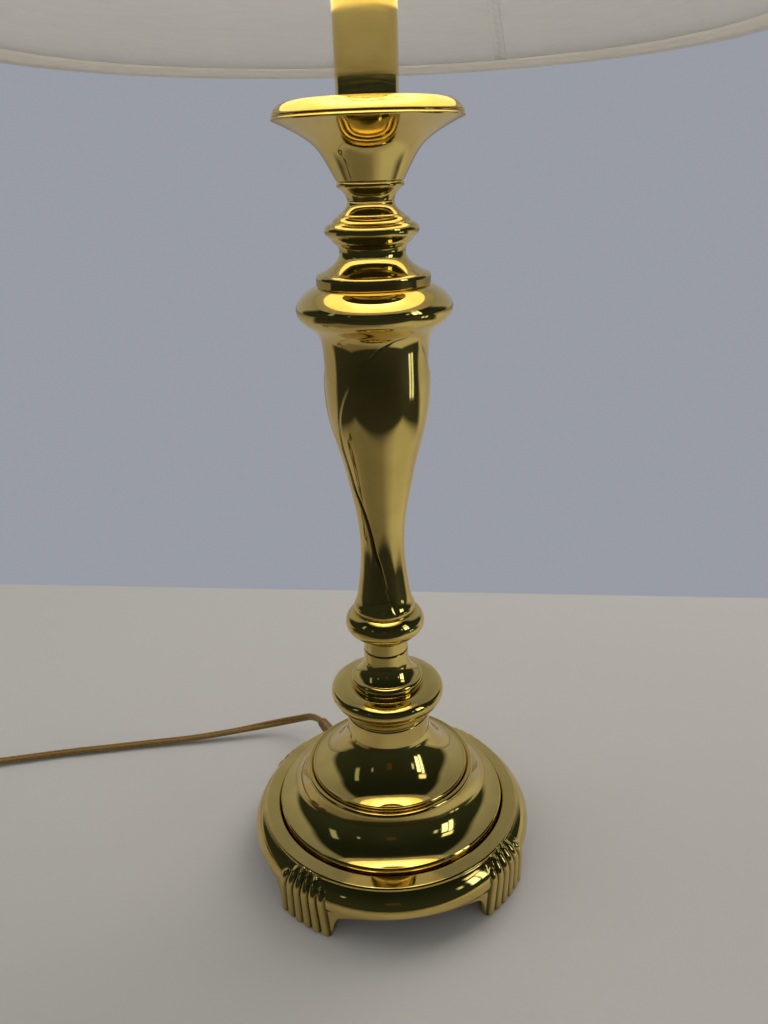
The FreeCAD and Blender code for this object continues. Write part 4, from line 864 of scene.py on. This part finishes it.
def map_round(piece, start=0.0):
    """Cloth map that runs round the axis and up."""
    x, y, z = read(piece.data.vertices, "co", 3, float).reshape(-1, 3).T
    loops = read(piece.data.loops, "vertex_index", 1, int)
    cloth_map(piece, ((np.arctan2(y, x) + start) * np.hypot(x, y))[loops], z[loops])


def cone_layer(name, outer_inset, inner_inset, rows=40):
    """Cloth layer of the shade, with a map that runs in metres round and down the cone."""
    heights = np.linspace(shade_low, shade_high, rows)
    section = [(cone_radius(z, outer_inset), z) for z in heights]
    section += [(cone_radius(z, inner_inset), z) for z in heights[::-1]]
    piece = turned(name, section, SHADE_SEGMENTS)
    loops = read(piece.data.loops, "vertex_index", 1, int)
    column, row = loops % SHADE_SEGMENTS, loops // SHADE_SEGMENTS
    faces = column.reshape(-1, 4)
    across_start = np.ptp(faces, axis=1, keepdims=True) > SHADE_SEGMENTS / 2
    wraps = (across_start & (faces < SHADE_SEGMENTS / 2)).ravel()
    mean_round = math.pi * (shade_radius + TOP_RADIUS)
    cloth_map(piece, (column / SHADE_SEGMENTS + wraps) * mean_round, np.array(section)[row, 1] * lean)
    return piece


def trim_piece(name, node, edge, into):
    """Folded tape round an edge of the shade, with a soft round fold and a stitched ridge."""
    inset, thick = 2 * CLOTH + TAPE_DEPTH, TAPE_THICKNESS
    outer, fold, inner = [], [], []
    for part in np.linspace(1, TAPE_FOLD, 12):
        z = edge + into * TAPE_WIDTH * part
        ridge = math.exp(-((part - STITCH_AT) / STITCH_SPREAD) ** 2)
        swell = TAPE_SWELL * math.sin(math.pi * part) + STITCH_RIDGE * ridge
        outer.append((cone_radius(z, -thick - swell), z))
        inner.append((cone_radius(z, inset + thick + swell), z))
    for turn in np.linspace(0, math.pi, 13)[1:-1]:
        start = TAPE_WIDTH * TAPE_FOLD
        z = edge + into * (start - (start + thick * 0.9) * math.sin(turn))
        fold.append((cone_radius(z, inset / 2 - (inset / 2 + thick) * math.cos(turn)), z))
    section = outer + fold + inner[::-1]
    for offset, height in ((inset, TAPE_WIDTH), (inset, thick), (0, thick), (0, TAPE_WIDTH)):
        z = edge + into * height
        section.append((cone_radius(z, offset), z))
    piece = turned(name, section[::-into], SHADE_SEGMENTS)
    map_round(piece)
    return dress(piece, "shade", "trim_cloth", node)


def shade_seam():
    """Lapped seam up the inside of the shade, sewn down with a zigzag thread."""
    def inside(z, shift, depth):
        r = cone_radius(z, 2 * CLOTH + depth)
        return round_axis(r, SEAM_AZIMUTH + math.degrees(shift / r), z)

    offsets = [(-1, 0), (-0.95, SEAM_RISE), (0.95, SEAM_RISE), (1, 0)]
    rows = [[inside(z, share * SEAM_HALF_WIDTH, depth) for share, depth in offsets]
            for z in np.arange(shade_low + 5 * MM, shade_high - 6 * MM, SEAM_STEP)]
    strip = grid_object("shade_seam", rows)
    map_round(strip, math.pi / 2)
    dress(strip, "shade", "lining_cloth", slot="lining_cloth")
    heights = np.arange(shade_low + 6 * MM, shade_high - 7 * MM, STITCH_STEP)
    stitches = [inside(z, STITCH_SWING if index % 2 else -STITCH_SWING, SEAM_RISE + STITCH_LIFT)
                for index, z in enumerate(heights)]
    angles = circle(8)
    thread = tube("shade_seam_thread", stitches, THREAD_RADIUS * np.stack([np.cos(angles), np.sin(angles)], 1))
    dress(thread, "shade", "thread_white", slot="trim_tape")


fabric = dress(cone_layer("shade_cloth_outer", 0, CLOTH), "shade", "shade_cloth", "shade_fabric")
lining = dress(cone_layer("shade_cloth_lining", CLOTH, 2 * CLOTH), "shade", "lining_cloth", "shade_lining")
shade_seam()
bottom_trim = trim_piece("shade_tape_bottom", "shade_trim_bottom", shade_low, 1)
top_trim = trim_piece("shade_tape_top", "shade_trim_top", shade_high, -1)

# The camera, as it was fitted to the round rims in the photograph: its heading, pitch and roll
CAMERA_PLACE = (0, -467.66 * MM, 441 * MM)
FOCAL_PIXELS, WIDTH_PIXELS, SENSOR_WIDTH = 850, 768, 36
CAMERA_TURNS = (math.radians(-0.19), "Z"), (math.radians(90 - 22.505), "X"), (math.radians(-1.87), "Z")


def make_camera():
    data = bpy.data.cameras.new("camera")
    data.sensor_fit, data.sensor_width = "HORIZONTAL", SENSOR_WIDTH
    data.lens = SENSOR_WIDTH * FOCAL_PIXELS / WIDTH_PIXELS
    data.clip_start = 0.01
    camera = bpy.data.objects.new("camera", data)
    link_object(camera)
    bpy.context.scene.camera = camera
    turns = [Matrix.Rotation(angle, 4, axis) for angle, axis in CAMERA_TURNS]
    camera.matrix_world = Matrix.Translation(CAMERA_PLACE) @ turns[0] @ turns[1] @ turns[2]


make_camera()

# Floor, room and lamps. The floor ends for the camera at a slanting line FAR_EDGE behind the axis.
FAR_EDGE, FAR_SLANT, FAR_SOFT = 0.368, 0.112, 0.002
FLOOR_HALF = 6
BACKDROP = (0.315, 0.33, 0.375)
EVEN_LIGHT = (0.5, 0.5, 0.51)
FLOOR = (0.43, 0.41, 0.375)
# What polished surfaces see of the floor, painted for mirrored rays only: its own tone, painted lit and dim
# sides, the painted dark past it, and bright window panes painted as glints
FLOOR_MIRRORED, FLOOR_LIT, FLOOR_DIM = (0.41, 0.385, 0.355), (0.56, 0.56, 0.5), (0.25, 0.23, 0.2)
FLOOR_DARK, PANE_GLINT = (0.035, 0.038, 0.036), (1.5, 1.7, 1.75)
# Azimuths (degrees) and reach (m) of the panes painted as glints
PANES, PANE_REACH = ((70.5, 75.5), (77.5, 82)), (1.05, 2.1)
# The painted lit and dim sides (degrees), and where the own tone ends and the painted dark begins (m)
LIT_SIDE, DIM_SIDE, SIDE_SOFT = (36, 120), (-85, 14), 14
OWN_END, DARK_ASIDE, DARK_BEHIND, DARK_FRONT = (0.17, 0.26), (0.42, 0.6), (0.3, 0.1), (-0.3, -0.42)
# What they see of the room, low and high up: pale surroundings and a dark gap in front
SURROUND_LOW, SURROUND_HIGH = (0.36, 0.365, 0.385), (0.2, 0.205, 0.22)
GAP_LOW, GAP_HIGH = (0.026, 0.034, 0.029), (0.012, 0.016, 0.014)
# The gap in degrees: reach to each side, how much more low down, soft edge, where it ends above
GAP_REACH, GAP_MORE, GAP_SOFT, GAP_TOP = 101, 27, 7, (80, 68)
# Each patch of light: azimuth from and to, elevation from and to (degrees), colour
PATCHES = (
    (58, 65, 12, 30, (2.6, 2.9, 3.0)), (67, 72, 10, 32, (2.2, 2.5, 2.6)), (48, 52, 20, 26, (0.9, 1.0, 1.0)),
    (60, 74, 34, 40, (1.6, 1.6, 1.3)), (-74, -66, 22, 40, (0.35, 0.42, 0.42)),
    (-40, -37, 24, 28, (0.5, 0.55, 0.5)), (-7, 4, 20, 27, (0.075, 0.04, 0.02)),
)


def make_world():
    """Room for mirrored rays, even light for diffuse ones and a plain backdrop for the camera."""
    world = bpy.data.worlds.new("studio")
    bpy.context.scene.world = world
    world.use_nodes = True
    nodes = Nodes(world.node_tree)
    place = nodes.add("TexCoord", {}).outputs["Generated"]
    x, y, z = nodes.add("SeparateXYZ", {0: place}).outputs
    azimuth = nodes.azimuth(x, y)
    elevation = nodes.maths("DEGREES", nodes.maths("ARCSINE", z))
    reach = nodes.maths("MULTIPLY_ADD", nodes.smooth(elevation, 40, 2), GAP_MORE, GAP_REACH)
    past = nodes.maths("SUBTRACT", nodes.maths("ABSOLUTE", azimuth), reach)
    gap = nodes.times(nodes.smooth(past, GAP_SOFT, -GAP_SOFT), nodes.smooth(elevation, *GAP_TOP))
    surround = nodes.mix(nodes.smooth(elevation, 5, 75), SURROUND_LOW, SURROUND_HIGH)
    colour = nodes.mix(gap, surround, nodes.mix(nodes.smooth(elevation, -5, 60), GAP_LOW, GAP_HIGH))
    for west, east, under, over, light in PATCHES:
        patch = nodes.times(nodes.band(azimuth, west, east, 1.4), nodes.band(elevation, under, over, 1.2))
        colour = nodes.mix(patch, colour, light)
    path = nodes.add("LightPath", {})
    colour = nodes.mix(path.outputs["Is Diffuse Ray"], colour, EVEN_LIGHT)
    colour = nodes.mix(path.outputs["Is Camera Ray"], colour, BACKDROP)
    background = world.node_tree.nodes["Background"]
    nodes.feed(background.inputs["Color"], colour)
    background.inputs["Strength"].default_value = 1


def make_floor():
    """Plain floor, with its mirrored tones for mirrored rays, and cut off by the backdrop for the camera."""
    size = FLOOR_HALF
    floor = mesh_object("floor", [(-size, -size, 0), (size, -size, 0), (size, size, 0), (-size, size, 0)],
                        [(0, 1, 2, 3)], False)
    nodes = new_material("floor_cloth", FLOOR, 0.7)
    place = nodes.add("TexCoord", {}).outputs["Object"]
    x, y = nodes.add("SeparateXYZ", {0: place}).outputs[:2]
    path = nodes.add("LightPath", {}).outputs
    azimuth = nodes.azimuth(x, y)
    away = nodes.maths("SQRT", nodes.maths("ADD", nodes.times(x, x), nodes.times(y, y)))
    far = nodes.smooth(away, *OWN_END)
    lit, dim = (nodes.times(far, nodes.band(azimuth, *side, SIDE_SOFT)) for side in (LIT_SIDE, DIM_SIDE))
    sideways = nodes.smooth(nodes.maths("ABSOLUTE", x), *DARK_ASIDE)
    aside = nodes.times(sideways, nodes.smooth(y, *DARK_BEHIND))
    dark = nodes.maths("MAXIMUM", nodes.smooth(y, *DARK_FRONT), aside)
    # painted light, shade and window glints that only mirrored rays see on the floor
    mirrored = FLOOR_MIRRORED
    for share, tone in ((lit, FLOOR_LIT), (dim, FLOOR_DIM), (dark, FLOOR_DARK)):
        mirrored = nodes.mix(share, mirrored, tone)
    for west, east in PANES:
        pane_glint = nodes.times(nodes.band(azimuth, west, east, 0.5), nodes.band(away, *PANE_REACH, 0.05))
        mirrored = nodes.mix(pane_glint, mirrored, PANE_GLINT)
    nodes.shade(Base_Color=nodes.mix(path["Is Glossy Ray"], FLOOR, mirrored))
    slanted = nodes.maths("ADD", y, nodes.times(x, FAR_SLANT))
    beyond = nodes.smooth(slanted, FAR_EDGE - FAR_SOFT, FAR_EDGE + FAR_SOFT)
    ended = nodes.times(beyond, path["Is Camera Ray"])
    glow = nodes.add("Emission", {"Color": BACKDROP}).outputs[0]
    mixed = nodes.add("MixShader", {0: ended, 1: nodes.shader.outputs[0], 2: glow}).outputs[0]
    nodes.feed(nodes.tree.nodes["Material Output"].inputs["Surface"], mixed)
    coat(floor, "floor_cloth")


def lamp(name, kind, place, power, colour, size, target=None):
    """Lamp that the camera doesn't see: an area aimed at a target, or a spot that shines up."""
    data = bpy.data.lights.new(name, kind)
    data.energy, data.color = power, colour
    piece = bpy.data.objects.new(name, data)
    piece.location = place
    piece.visible_camera = False
    if kind == "AREA":
        data.shape = "RECTANGLE"
        data.size = data.size_y = size
        piece.rotation_euler = (Vector(target) - Vector(place)).to_track_quat("-Z", "Y").to_euler()
        piece.visible_glossy = False
    else:
        data.shadow_soft_size = size
        data.spot_size, data.spot_blend = math.radians(165), 0.5
        piece.rotation_euler = (math.pi, 0, 0)
    link_object(piece)
    return piece


make_world()
make_floor()
lamp("key", "AREA", (0.8, 0.9, 1.5), 17, (1, 0.98, 0.96), 1.2, (0, 0, 0.2))
lamp("fill", "AREA", (-1.2, 0.2, 1.3), 5, (0.96, 0.98, 1), 1.2, (0, 0, 0.2))
# the lit inside of the shade, which shows in reflections only
warm_glow = lamp("warm_glow", "AREA", (0, 0, 0.53), 0.37, (1, 0.8, 0.34), 0.33, (0, 0, 0))
warm_glow.data.shape = "DISK"
warm_glow.visible_glossy, warm_glow.visible_diffuse = True, False
for name, side in (("bulb_glow_left", -1), ("bulb_glow_right", 1)):
    lamp(name, "SPOT", (0, side * 0.045, 0.6), 0.6, (1, 0.92, 0.79), 0.012)

bpy.context.scene.view_settings.view_transform = "Standard"
